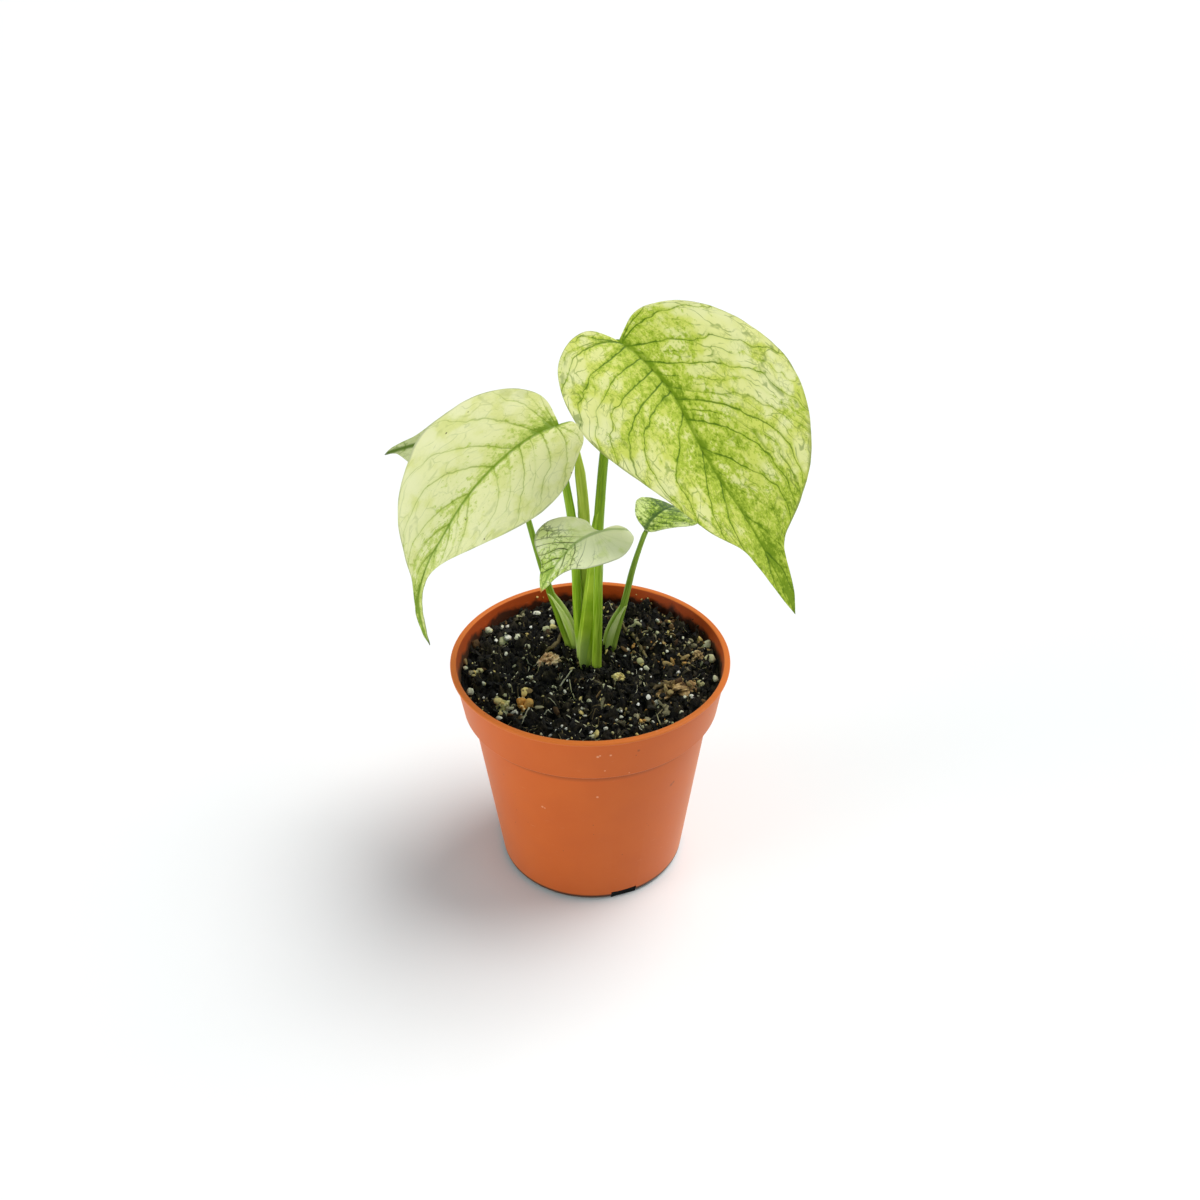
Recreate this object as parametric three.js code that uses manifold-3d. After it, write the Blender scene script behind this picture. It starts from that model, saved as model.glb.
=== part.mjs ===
// A potted mint monstera: a young climber with pale, green-veined leaves in a round nursery pot.
// Sizes are millimetres and +Z is up. The origin is the centre of the pot's flat underside,
// and the plant's front, where the small leaf stands, faces -Y.
import * as THREE from "three";
import { mergeVertices } from "three/addons/utils/BufferGeometryUtils.js";
import Module from "manifold-3d";

const wasm = await Module();
wasm.setup();
const { Manifold } = wasm;

// Fit between neighbours, and between a stalk and its hole
const GAP = 0.3;

// Nursery pot
const POT_HEIGHT = 104.6;
const RIM_RADIUS = 60;
const LIP_HEIGHT = 1.4;
const LIP_OVERHANG = 1.4;
const BAND_HEIGHT = 21.3;
const BAND_FOOT_RADIUS = 55.6;
const SHOULDER_HEIGHT = 2.2;
const WALL_TOP_RADIUS = 52;
const BASE_RADIUS = 42;
const BASE_EDGE = 1.2;
const WALL = 1.2;
const FLOOR = 1.6;
const EDGE_ROUNDING = 0.4;
const POT_SEGMENTS = 60;

// Drainage: slots at the foot of the wall, and holes through the floor
const SLOT_COUNT = 3;
const SLOT_FIRST_ANGLE = -68;
const SLOT_WIDTH = 10.7;
const SLOT_HEIGHT = 2.5;
const SLOT_DEPTH = 10;
const HOLE_COUNT = 6;
const HOLE_RADIUS = 3.5;
const HOLE_CIRCLE = 26;
const HOLE_SIDES = 12;

// Potting mix
const MIX_LEVEL = 95.6;
const MIX_MOUND = 0.8;
const MIX_TILT = 1.2;
const MIX_SECTORS = 48;
const MIX_RINGS = 11;
const RELIEF = 1.3;
const PERLITE_COUNT = 64;
const PERLITE_SMALLEST = 0.7;
const PERLITE_LARGEST = 1.5;
const CRUMB_COUNT = 14;
const CRUMB_SIZE = 2.2;
const STEM_CLEARING = 7;
const LUMP_CLEARING = 3;
const WALL_CLEARING = 2.4;

// Leaves and stalks
const BLADE_THICKNESS = 0.8;
const GROOVE = 0.02;
const RIB_SLANT = 0.45;
const TIP_CROWDING = 1.3;
const MARGIN_SAMPLES = 240;
const MIDRIB_SAMPLES = 120;
const STALK_SIDES = 10;
const STALK_END = 1.1;
const ROOT_DEPTH = 12;
const SHEATH_STEPS = 10;
const SPEAR_STEPS = 15;
const SPEAR_FLATNESS = 0.9;

const MERGE_DISTANCE = 1e-4;
const radians = THREE.MathUtils.degToRad;

// Each blade is described on its own flat pattern: [along, across], both in millimetres, where
// "along" runs down the midrib from the stalk joint and "across" is positive on the blade's left.
// attach: the stalk joint. heading: the compass angle of the midrib, from +X towards +Y.
// pitch: the slope of the midrib in degrees at the joint and at the tip. roll: the turn about the midrib.
// fold lifts the halves from the midrib, droop lets them hang towards the margin, both over halfWidth.
// midrib: the line that the midrib takes on the pattern. left and right: the two margins, from the
// notch at the stalk to the drip tip.
const LEAVES = [
  {
    name: "large_right",
    attach: [12.8, -4, 246],
    heading: -30,
    pitch: [-40, -62],
    roll: 38,
    length: 121,
    fold: 0.3,
    droop: 0.2,
    halfWidth: 42,
    midrib: [[0, 0], [8, 1.8], [25, 2.6], [40, 0.2], [58, -1.6], [82, -0.6], [121, 0]],
    left: [
      [-1.5, 0], [-3.2, 3.9], [-5.2, 10], [-3.9, 16.5], [2, 26], [12, 34.8], [26, 41.8], [41.5, 45.3],
      [57, 41.8], [73, 31.8], [83, 21], [88, 14.4], [92.5, 8.9], [98, 6.1], [112, 3.3], [121, 0],
    ],
    right: [
      [-1.5, 0], [-2.9, -2], [-7.5, -3.2], [-11.9, -7.5], [-12.6, -15.5], [-8.5, -24.3], [0, -30],
      [10, -32.8], [21, -33.6], [36, -30.3], [60, -21.8], [76, -15.5], [88, -8], [98, -5.4],
      [112, -2.5], [121, 0],
    ],
    spans: [9, 16],
    across: 5,
    stalk: {
      points: [[-1.2, 4.5, 98], [1.5, 5.2, 115], [3.4, 6, 138], [3.9, 6.6, 164], [5, 7.6, 180],
        [6.4, 8, 196], [8.4, 8, 211], [10, 6.4, 227]],
      radii: [1.7, 2, 2.1, 2.1, 2, 1.9, 1.8, 1.8],
      knee: [1.5, 4.9],
      sheath: { from: 0.05, to: 0.48, width: 4.6, towards: [-1, -0.3, 0], thickness: 0.9 },
    },
  },
  {
    name: "large_left",
    attach: [-12.4, 4, 210],
    heading: 208,
    pitch: [-11.5, -98],
    roll: -35,
    length: 112.5,
    fold: 0.3,
    droop: 0.25,
    halfWidth: 32,
    midrib: [[0, 0], [11, -0.6], [30, 0], [60, 0.2], [73, -1.6], [90, -3.2], [102, -1.8], [112.5, 0]],
    left: [
      [-1.5, 0], [-3.2, 0.2], [-6.9, 0.8], [-8.2, 5.6], [-6.5, 11], [0.2, 17], [8, 22.8], [17, 26],
      [28, 26.8], [38, 24.8], [48, 21], [60, 13.9], [71.5, 5.1], [78, 0.9], [84, -1.2], [92, -1.6],
      [104, -0.4], [112.5, 0],
    ],
    right: [
      [-1.5, 0], [-1.8, -3.6], [-1.5, -11], [1.7, -16.8], [8, -22], [18, -26.8], [29, -29.1],
      [39, -30.3], [49, -27], [62, -21.4], [74, -13.3], [82, -8.2], [88, -5.8], [100, -3.9],
      [107, -2], [112.5, 0],
    ],
    spans: [9, 16],
    across: 5,
    stalk: {
      points: [[-4.3, 6.5, 98], [-5.3, 7.5, 119], [-5.7, 8, 143], [-7.1, 9, 167], [-8.2, 9.8, 175],
        [-9.6, 10.5, 184], [-11.2, 10.4, 196]],
      radii: [1.5, 1.8, 1.9, 1.9, 1.8, 1.7, 1.6],
      knee: [2, 4],
    },
  },
  {
    name: "small_left",
    attach: [-35, 20, 197.5],
    heading: 172,
    pitch: [2, -26],
    roll: -28,
    length: 51,
    fold: 0.35,
    droop: 0.2,
    halfWidth: 15,
    midrib: [[0, 0], [25, 0.5], [51, 0]],
    left: [
      [-1.2, 0], [-4.5, 2.6], [-5, 7.5], [0.5, 12.5], [9, 15.6], [18, 16.4], [28, 14.6], [37, 10.4],
      [42, 5.2], [45, 2], [48, 0.7], [51, 0],
    ],
    right: [
      [-1.2, 0], [-4.5, -2.6], [-5, -7], [1, -11.5], [9, -13.4], [18, -12.6], [28, -8.4], [36, -4],
      [42, -2.9], [46, -2.1], [49, -1.2], [51, 0],
    ],
    spans: [6, 10],
    across: 3,
    stalk: {
      points: [[-8.4, 15.7, 95], [-13.1, 16.5, 112.5], [-18.1, 17.5, 129.4], [-22.1, 18.5, 145.3],
        [-25.4, 19.5, 159.7], [-30, 21, 178.5], [-33, 21.6, 190]],
      radii: [2.1, 1.9, 1.6, 1.4, 1.3, 1.2, 1.1],
      knee: [1.4, 2.8],
      sheath: { from: 0.04, to: 0.29, width: 4.2, towards: [1, -0.35, 0], thickness: 0.8 },
    },
  },
  {
    name: "small_front",
    attach: [3.5, -22, 177.4],
    heading: 215,
    pitch: [0, -67],
    roll: -15,
    length: 33.4,
    fold: 0.3,
    droop: 0.2,
    halfWidth: 16,
    midrib: [[0, 0], [10, -0.3], [20, 0.2], [33.4, 0]],
    left: [
      [-1.2, -0.4], [-2.6, -0.3], [-6, -1.4], [-11, -2], [-15, -0.6], [-15.4, 3.2], [-11.3, 8.8],
      [-5, 14], [1.5, 16.2], [8.5, 15], [14.5, 12.2], [19, 7.4], [24.4, 4], [29.5, 2], [33.4, 0],
    ],
    right: [
      [-1.2, -0.4], [0.6, -2.4], [0.6, -6.2], [4, -10.8], [9.5, -14.8], [14.6, -15.7], [19, -13.4],
      [21.6, -9.2], [24.2, -4.8], [29, -2.5], [33.4, 0],
    ],
    spans: [7, 10],
    across: 3,
    stalk: {
      points: [[3.1, 1.6, 98], [3.3, 0, 112.4], [3.6, -5, 135.9], [3.7, -9.5, 153.1],
        [3.8, -14.5, 166.5]],
      radii: [1.5, 1.6, 1.7, 1.6, 1.3],
      knee: [1.6, 2.6],
    },
  },
  {
    name: "small_right",
    attach: [23.9, 16, 157.7],
    heading: 65,
    pitch: [3, -28],
    roll: 8,
    length: 38,
    fold: 0.3,
    droop: 0.2,
    halfWidth: 16,
    midrib: [[0, 0], [6, 0.6], [20, 0.6], [38, 0]],
    left: [
      [-1, 0], [0, 1.6], [2.6, 5], [5.9, 7.8], [10.5, 10.1], [19, 13], [26, 12], [32, 7], [35, 2.8], [38, 0],
    ],
    right: [
      [-1, 0], [-1.8, -2.6], [1, -5.6], [4.4, -9], [8, -12.2], [13.4, -15.4], [20, -16.4],
      [27, -13], [32, -7.2], [35, -2.6], [38, 0],
    ],
    spans: [6, 10],
    across: 3,
    stalk: {
      points: [[9.5, 15.8, 95], [12.3, 15.8, 109.5], [15.5, 16, 124], [18.3, 16, 137.7],
        [21.2, 15.4, 149]],
      radii: [1.7, 1.6, 1.5, 1.3, 1.1],
      knee: [1.4, 2.4],
      sheath: { from: 0.05, to: 0.39, width: 4.2, towards: [-1, -0.35, 0], thickness: 0.8 },
    },
  },
];

// The youngest leaf, still rolled into a spear between the two tall stalks
const SPEAR = {
  points: [[-1.6, 10.3, 86], [-1.7, 10.3, 128], [-1.8, 10.3, 147], [-2, 10.4, 167], [-3.4, 10.7, 186],
    [-4.7, 11, 200]],
  radii: [1.2, 2, 2.3, 2.5, 2.3, 0.5],
};

// Lumps that lie on the mix: place, half sizes along X, Y and Z, turn, and how knobbly they are
const LUMPS = [
  { name: "bark_lump_left", kind: "bark", at: [-18.1, 5], half: [5.2, 3.6, 3.2], turn: 20, knobbly: 0.22 },
  { name: "bark_chunk_right", kind: "bark", at: [36, -15], half: [8.6, 4.2, 3], turn: 24, knobbly: 0.26 },
  { name: "bark_chip_right", kind: "bark", at: [47, 9], half: [3.2, 2.6, 2.2], turn: 60, knobbly: 0.2 },
  { name: "clay_grain_middle", kind: "clay", at: [11.9, -6], half: [3.2, 2.7, 2.4], turn: 10, knobbly: 0.12 },
  { name: "clay_grain_left", kind: "clay", at: [-36.6, -24.5], half: [3.3, 2.6, 2.4], turn: 40, knobbly: 0.12 },
  { name: "clay_grain_orange", kind: "clay", at: [-27.4, -23.6], half: [3.2, 2.8, 2.4], turn: 75, knobbly: 0.2 },
];

// Materials, one for each finish
function finish(color, roughness) {
  return new THREE.MeshStandardMaterial({ color, roughness, metalness: 0 });
}
const terracottaPlastic = finish(0xc06539, 0.5);
const darkMix = finish(0x1d1812, 0.95);
const bark = finish(0x7a4f30, 0.9);
const clay = finish(0xb89a5a, 0.85);
const mintBlade = finish(0xd2dd92, 0.45);
const greenStalk = finish(0x86a82c, 0.4);
const paleSpear = finish(0x9db340, 0.4);

// Seeded random numbers between 0 and 1, the same on every run
function seededRandom(seed) {
  let state = seed >>> 0;
  return () => {
    state = (Math.imul(state, 1664525) + 1013904223) >>> 0;
    return state / 4294967296;
  };
}

// A closed geometry as a solid that can be joined and cut
function solidOf(geometry) {
  const bare = geometry.clone();
  bare.deleteAttribute("normal");
  bare.deleteAttribute("uv");
  const merged = mergeVertices(bare, MERGE_DISTANCE);
  const corners = Array.from(merged.index.array);
  const kept = [];
  for (let i = 0; i < corners.length; i += 3) {
    const [a, b, c] = corners.slice(i, i + 3);
    if (a !== b && b !== c && c !== a) {
      kept.push(a, b, c);
    }
  }
  return new Manifold(new wasm.Mesh({
    numProp: 3,
    vertProperties: new Float32Array(merged.attributes.position.array),
    triVerts: new Uint32Array(kept),
  }));
}

// A solid back as a geometry
function geometryOf(solid) {
  const mesh = solid.getMesh();
  const geometry = new THREE.BufferGeometry();
  geometry.setAttribute("position", new THREE.BufferAttribute(mesh.vertProperties, 3));
  geometry.setIndex(new THREE.BufferAttribute(mesh.triVerts, 1));
  geometry.computeVertexNormals();
  return geometry;
}

// A list of triangles, three points each, as a geometry
function geometryFromTriangles(triangles) {
  const geometry = new THREE.BufferGeometry();
  const numbers = triangles.flatMap((point) => [point.x, point.y, point.z]);
  geometry.setAttribute("position", new THREE.Float32BufferAttribute(numbers, 3));
  return geometry;
}

// The largest of the bodies that a cut leaves
function largestBody(solid) {
  const bodies = solid.decompose();
  return bodies.reduce((best, body) => (body.volume() > best.volume() ? body : best));
}

// A tube with a section that may change along its path. sectionAt(u) gives the ring as [side, back]
// pairs, anticlockwise when seen against the path; side is the path's own sideways direction.
function sweep(path, steps, side, sectionAt, from = 0, to = 1) {
  const rings = [];
  for (let i = 0; i <= steps; i += 1) {
    const u = from + (to - from) * (i / steps);
    const centre = path.getPoint(u);
    const along = path.getTangent(u);
    const across = side.clone().addScaledVector(along, -side.dot(along)).normalize();
    const back = new THREE.Vector3().crossVectors(along, across);
    rings.push(sectionAt(u).map(([a, b]) => centre.clone().addScaledVector(across, a).addScaledVector(back, b)));
  }
  const triangles = [];
  const count = rings[0].length;
  const middleOf = (ring) => ring.reduce((sum, p) => sum.add(p), new THREE.Vector3()).divideScalar(count);
  const first = middleOf(rings[0]);
  const last = middleOf(rings[steps]);
  for (let k = 0; k < count; k += 1) {
    const next = (k + 1) % count;
    for (let i = 0; i < steps; i += 1) {
      const [a, b, c, d] = [rings[i][k], rings[i][next], rings[i + 1][next], rings[i + 1][k]];
      triangles.push(a, b, c, a, c, d);
    }
    triangles.push(first, rings[0][next], rings[0][k]);
    triangles.push(last, rings[steps][k], rings[steps][next]);
  }
  return geometryFromTriangles(triangles);
}

// An oval ring of [side, back] pairs
function oval(halfSide, halfBack, shift = 0, sides = STALK_SIDES) {
  return Array.from({ length: sides }, (_, k) => {
    const turn = (2 * Math.PI * k) / sides;
    return [shift + halfSide * Math.cos(turn), halfBack * Math.sin(turn)];
  });
}

// A value between evenly spaced control values, at u from 0 to 1
function between(values, u) {
  const place = THREE.MathUtils.clamp(u, 0, 1) * (values.length - 1);
  const i = Math.min(Math.floor(place), values.length - 2);
  return THREE.MathUtils.lerp(values[i], values[i + 1], place - i);
}

// The pot: one lathe profile from the underside, up the wall, over the lip and down inside
function potProfile() {
  const bandFoot = POT_HEIGHT - BAND_HEIGHT;
  const wallTop = bandFoot - SHOULDER_HEIGHT;
  const bandTop = RIM_RADIUS - LIP_OVERHANG;
  const lipFoot = POT_HEIGHT - LIP_HEIGHT;
  const edge = EDGE_ROUNDING;
  return [
    [0, 0], [BASE_RADIUS - BASE_EDGE, 0], [BASE_RADIUS - 0.25 * BASE_EDGE, 0.3 * BASE_EDGE], [BASE_RADIUS, BASE_EDGE],
    [WALL_TOP_RADIUS, wallTop], [BAND_FOOT_RADIUS - edge, bandFoot - edge],
    [BAND_FOOT_RADIUS, bandFoot + edge], [bandTop, lipFoot], [RIM_RADIUS, lipFoot],
    [RIM_RADIUS, POT_HEIGHT - edge], [RIM_RADIUS - edge, POT_HEIGHT],
    [bandTop - WALL + edge, POT_HEIGHT], [bandTop - WALL, POT_HEIGHT - edge],
    ...innerWall(0),
    [0, FLOOR],
  ];
}

// The inside of the wall from the band down to the floor, drawn in by a clearance
function innerWall(clearance) {
  const bandFoot = POT_HEIGHT - BAND_HEIGHT;
  const inset = WALL + clearance;
  return [
    [BAND_FOOT_RADIUS - inset, bandFoot], [WALL_TOP_RADIUS - inset, bandFoot - SHOULDER_HEIGHT],
    [BASE_RADIUS - inset + 0.2, FLOOR + clearance],
  ];
}

function lathe(profile, segments) {
  const points = profile.map(([r, z]) => new THREE.Vector2(r, z));
  const geometry = new THREE.LatheGeometry(points, segments);
  geometry.rotateX(Math.PI / 2);
  return geometry;
}

function pot() {
  let body = solidOf(lathe(potProfile(), POT_SEGMENTS));
  for (let i = 0; i < SLOT_COUNT; i += 1) {
    const slot = new THREE.BoxGeometry(SLOT_DEPTH, SLOT_WIDTH, 2 * SLOT_HEIGHT);
    slot.translate(BASE_RADIUS, 0, 0);
    slot.rotateZ(radians(SLOT_FIRST_ANGLE + (360 * i) / SLOT_COUNT));
    body = body.subtract(solidOf(slot));
  }
  for (let i = 0; i < HOLE_COUNT; i += 1) {
    const hole = new THREE.CylinderGeometry(HOLE_RADIUS, HOLE_RADIUS, 4 * FLOOR, HOLE_SIDES);
    hole.rotateX(Math.PI / 2);
    hole.translate(HOLE_CIRCLE, 0, 0);
    hole.rotateZ(radians((360 * i) / HOLE_COUNT));
    body = body.subtract(solidOf(hole));
  }
  return body;
}

// Height of the mix: a low mound, higher at the back, with lumps from a few crossing waves
function mixHeight(x, y) {
  const reach = Math.hypot(x, y) / BAND_FOOT_RADIUS;
  const mound = MIX_MOUND * (1 - reach * reach);
  const broad = Math.sin(x / 3.3 + 1.4 * Math.sin(y / 5.1)) * Math.cos(y / 3.7 + 0.8 * Math.sin(x / 6.3));
  const fine = Math.sin(x / 1.9 - y / 2.6 + 2) * Math.cos(y / 2.1 + x / 4.4);
  const tilt = (MIX_TILT * y) / BAND_FOOT_RADIUS;
  return MIX_LEVEL + mound + tilt + RELIEF * (0.7 * broad + 0.4 * fine);
}

// The root ball: a lathe of the pot's inside, with the relief on its top rings
function mixBody() {
  const bandFoot = POT_HEIGHT - BAND_HEIGHT;
  const slope = (RIM_RADIUS - LIP_OVERHANG - BAND_FOOT_RADIUS) / (BAND_HEIGHT - LIP_HEIGHT);
  const topRadius = BAND_FOOT_RADIUS - WALL - GAP + slope * (MIX_LEVEL - RELIEF - bandFoot);
  const side = innerWall(GAP).reverse();
  const profile = [[0, FLOOR + GAP], ...side];
  for (let i = 0; i <= MIX_RINGS; i += 1) {
    profile.push([topRadius * (1 - i / MIX_RINGS), MIX_LEVEL]);
  }
  const geometry = lathe(profile, MIX_SECTORS);
  const position = geometry.attributes.position;
  for (let i = 0; i < position.count; i += 1) {
    if (position.getZ(i) > bandFoot + WALL) {
      position.setZ(i, mixHeight(position.getX(i), position.getY(i)));
    }
  }
  return solidOf(geometry);
}

// A small faceted grain, squashed and turned by the random draw
function grain(random, shape, radius, x, y) {
  const geometry = new shape(radius, 0);
  geometry.scale(0.9 + 0.4 * random(), 0.8 + 0.3 * random(), 0.7 + 0.3 * random());
  geometry.rotateX(Math.PI * random());
  geometry.rotateZ(Math.PI * random());
  geometry.translate(x, y, mixHeight(x, y) + 0.25 * radius);
  return geometry;
}

// Perlite and crumbs over the mix, clear of the stems, the lumps and the pot's wall
function withGrains(body) {
  const random = seededRandom(41);
  const stems = LEAVES.map((leaf) => leaf.stalk.points[0]);
  const wallReach = BAND_FOOT_RADIUS - WALL - WALL_CLEARING;
  let grown = body;
  let placed = 0;
  while (placed < PERLITE_COUNT + CRUMB_COUNT) {
    const reach = wallReach * Math.sqrt(random());
    const turn = 2 * Math.PI * random();
    const x = reach * Math.cos(turn);
    const y = reach * Math.sin(turn);
    const isPerlite = placed < PERLITE_COUNT;
    const shape = isPerlite ? THREE.OctahedronGeometry : THREE.IcosahedronGeometry;
    const radius = isPerlite
      ? THREE.MathUtils.lerp(PERLITE_SMALLEST, PERLITE_LARGEST, random() ** 2)
      : CRUMB_SIZE * (0.7 + 0.5 * random());
    const nearStem = stems.some((stem) => Math.hypot(x - stem[0], y - stem[1]) < STEM_CLEARING);
    const nearLump = LUMPS.some((lump) => Math.hypot(x - lump.at[0], y - lump.at[1]) < lump.half[0] + LUMP_CLEARING);
    if (nearStem || nearLump) {
      continue;
    }
    grown = grown.add(solidOf(grain(random, shape, radius, x, y)));
    placed += 1;
  }
  return grown;
}

// A knobbly lump, grown by a margin where it cuts its own seat into the mix
function lump(piece, margin) {
  const geometry = new THREE.IcosahedronGeometry(1, piece.kind === "bark" ? 2 : 1);
  const position = geometry.attributes.position;
  const [a, b, c] = piece.half;
  for (let i = 0; i < position.count; i += 1) {
    const [x, y, z] = [position.getX(i), position.getY(i), position.getZ(i)];
    const bumps = Math.sin(4.1 * x + a) * Math.sin(3.7 * y + b) + 0.7 * Math.sin(5.3 * z + 2.2 * x + c);
    const size = 1 + piece.knobbly * bumps;
    position.setXYZ(i, x * (a * size + margin), y * (b * size + margin), z * (c * size + margin));
  }
  geometry.rotateZ(radians(piece.turn));
  const [x, y] = piece.at;
  geometry.translate(x, y, mixHeight(x, y) + 0.3 * c);
  return solidOf(geometry);
}

// The blade's own directions at a distance along its midrib line
function bladeFrame(leaf, along) {
  const heading = radians(leaf.heading);
  const [start, end] = leaf.pitch.map(radians);
  const bend = (end - start) / leaf.length;
  const pitch = start + bend * along;
  const run = (Math.sin(pitch) - Math.sin(start)) / bend;
  const rise = -(Math.cos(pitch) - Math.cos(start)) / bend;
  const forward = new THREE.Vector3(Math.cos(heading), Math.sin(heading), 0);
  const up = new THREE.Vector3(0, 0, 1);
  const centre = new THREE.Vector3(...leaf.attach).addScaledVector(forward, run).addScaledVector(up, rise);
  const tangent = forward.clone().multiplyScalar(Math.cos(pitch)).addScaledVector(up, Math.sin(pitch));
  const level = new THREE.Vector3(-Math.sin(heading), Math.cos(heading), 0);
  const face = forward.clone().multiplyScalar(-Math.sin(pitch)).addScaledVector(up, Math.cos(pitch));
  const roll = radians(leaf.roll);
  const across = level.multiplyScalar(Math.cos(roll)).addScaledVector(face, Math.sin(roll));
  const normal = new THREE.Vector3().crossVectors(tangent, across);
  return { centre, tangent, across, normal };
}

// The place in space of a point of the flat pattern
function bladePoint(leaf, along, across, midribAcross) {
  const frame = bladeFrame(leaf, along);
  const x = (across - midribAcross) / leaf.halfWidth;
  const rise = Math.sqrt(x * x + GROOVE) - Math.sqrt(GROOVE);
  const height = leaf.halfWidth * (leaf.fold * rise - leaf.droop * x * x);
  return frame.centre.addScaledVector(frame.across, across).addScaledVector(frame.normal, height);
}

// A smooth line through pattern points
function patternLine(points) {
  const corners = points.map(([along, across]) => new THREE.Vector3(along, across, 0));
  return new THREE.CatmullRomCurve3(corners, false, "catmullrom", 0.5);
}

// The blade is ruled by ribs that leave the midrib and slant forward to the margin. The ribs of the
// two base lobes fan out of the stalk joint. Each half gives the rib's foot and its margin point.
function ribsOfHalf(leaf, margin) {
  const [fanCount, spineCount] = leaf.spans;
  const samples = patternLine(margin).getSpacedPoints(MARGIN_SAMPLES);
  const feet = samples.map((p) => Math.max(0, p.x - RIB_SLANT * Math.abs(p.y)));
  feet.forEach((foot, i) => {
    feet[i] = Math.max(foot, i > 0 ? feet[i - 1] : 0);
  });
  feet[feet.length - 1] = leaf.length;
  const lastFan = feet.findIndex((foot) => foot > 0) - 1;
  const ribs = [];
  for (let i = 0; i <= fanCount; i += 1) {
    ribs.push({ foot: 0, tip: samples[Math.round((lastFan * i) / fanCount)] });
  }
  for (let i = 1; i <= spineCount; i += 1) {
    const foot = leaf.length * (1 - (1 - i / spineCount) ** TIP_CROWDING);
    const place = i === spineCount ? samples.length - 1 : feet.findIndex((value) => value >= foot);
    ribs.push({ foot, tip: samples[place] });
  }
  return ribs;
}

// A blade of the given thickness: the same triangles on its upper and lower face, and a rim between
function blade(leaf, thickness) {
  const midrib = patternLine(leaf.midrib).getSpacedPoints(MIDRIB_SAMPLES);
  const midribAcross = (along) => {
    const after = midrib.findIndex((p) => p.x >= along);
    return midrib[after < 0 ? midrib.length - 1 : after].y;
  };
  const triangles = [];
  for (const side of [1, -1]) {
    const rows = ribsOfHalf(leaf, side > 0 ? leaf.left : leaf.right).map(({ foot, tip }) => {
      const start = new THREE.Vector3(foot, midribAcross(foot), 0);
      return Array.from({ length: leaf.across + 1 }, (_, k) => {
        const p = start.clone().lerp(tip, k / leaf.across);
        return { along: p.x, across: p.y, middle: midribAcross(Math.max(p.x, 0)) };
      });
    });
    const place = (p, lift) => {
      const at = bladePoint(leaf, p.along, p.across, p.middle);
      return at.addScaledVector(bladeFrame(leaf, p.along).normal, lift);
    };
    const upper = rows.map((row) => row.map((p) => place(p, thickness / 2)));
    const lower = rows.map((row) => row.map((p) => place(p, -thickness / 2)));
    const push = (a, b, c) => (side > 0 ? triangles.push(a, b, c) : triangles.push(a, c, b));
    for (let j = 0; j + 1 < rows.length; j += 1) {
      for (let k = 0; k < leaf.across; k += 1) {
        push(upper[j][k], upper[j + 1][k + 1], upper[j][k + 1]);
        push(upper[j][k], upper[j + 1][k], upper[j + 1][k + 1]);
        push(lower[j][k], lower[j][k + 1], lower[j + 1][k + 1]);
        push(lower[j][k], lower[j + 1][k + 1], lower[j + 1][k]);
      }
      const rim = leaf.across;
      push(upper[j][rim], upper[j + 1][rim], lower[j + 1][rim]);
      push(upper[j][rim], lower[j + 1][rim], lower[j][rim]);
    }
  }
  return solidOf(geometryFromTriangles(triangles));
}

// The path of a stalk: out of the mix, up through its points, and over a knee under the blade
function stalkPath(leaf) {
  const { points, knee } = leaf.stalk;
  const [kneeBack, kneeDrop] = knee;
  const joint = bladeFrame(leaf, 0);
  const under = (along, down) => joint.centre.clone()
    .addScaledVector(joint.tangent, along)
    .addScaledVector(joint.normal, -down);
  const [x, y, z] = points[0];
  const root = new THREE.Vector3(x, y, z - ROOT_DEPTH);
  const risen = points.map((p) => new THREE.Vector3(...p));
  const last = [under(-kneeBack, kneeDrop), under(kneeBack, STALK_END + GAP)];
  return new THREE.CatmullRomCurve3([root, ...risen, ...last]);
}

// A stalk with its basal sheath, grown by a margin where it cuts its own hole
function stalk(leaf, margin) {
  const { radii, sheath } = leaf.stalk;
  const path = stalkPath(leaf);
  const steps = 2 * (leaf.stalk.points.length + 2);
  const sizes = [radii[0], ...radii, radii[radii.length - 1], STALK_END];
  const side = new THREE.Vector3(1, 0, 0);
  let body = solidOf(sweep(path, steps, side, (u) => {
    const radius = between(sizes, u) + margin;
    return oval(radius, radius);
  }));
  if (sheath) {
    const towards = new THREE.Vector3(...sheath.towards).normalize();
    const wing = sweep(path, SHEATH_STEPS, towards, (u) => {
      const v = (u - sheath.from) / (sheath.to - sheath.from);
      const width = sheath.width * Math.sin(Math.PI * THREE.MathUtils.clamp(v, 0, 1) ** 0.8);
      const radius = between(sizes, u);
      return oval(radius * 0.8 + width / 2 + margin, sheath.thickness + margin, width / 2);
    }, sheath.from, sheath.to);
    body = body.add(solidOf(wing));
  }
  return body;
}

// The spear: a thick rolled leaf that tapers to a blunt point
function spear(margin) {
  const path = new THREE.CatmullRomCurve3(SPEAR.points.map((p) => new THREE.Vector3(...p)));
  return solidOf(sweep(path, SPEAR_STEPS, new THREE.Vector3(1, 0, 0), (u) => {
    const radius = between(SPEAR.radii, u) + margin;
    return oval(radius, radius * SPEAR_FLATNESS);
  }));
}

const plant = new THREE.Group();

function add(name, solid, material) {
  const mesh = new THREE.Mesh(geometryOf(solid), material);
  mesh.name = name;
  plant.add(mesh);
}

add("pot", pot(), terracottaPlastic);

let mix = withGrains(mixBody());
for (const leaf of LEAVES) {
  mix = mix.subtract(stalk(leaf, GAP));
}
mix = mix.subtract(spear(GAP));
for (const piece of LUMPS) {
  mix = mix.subtract(lump(piece, GAP));
  add(piece.name, lump(piece, 0), piece.kind === "bark" ? bark : clay);
}
add("potting_mix", largestBody(mix), darkMix);

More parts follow.
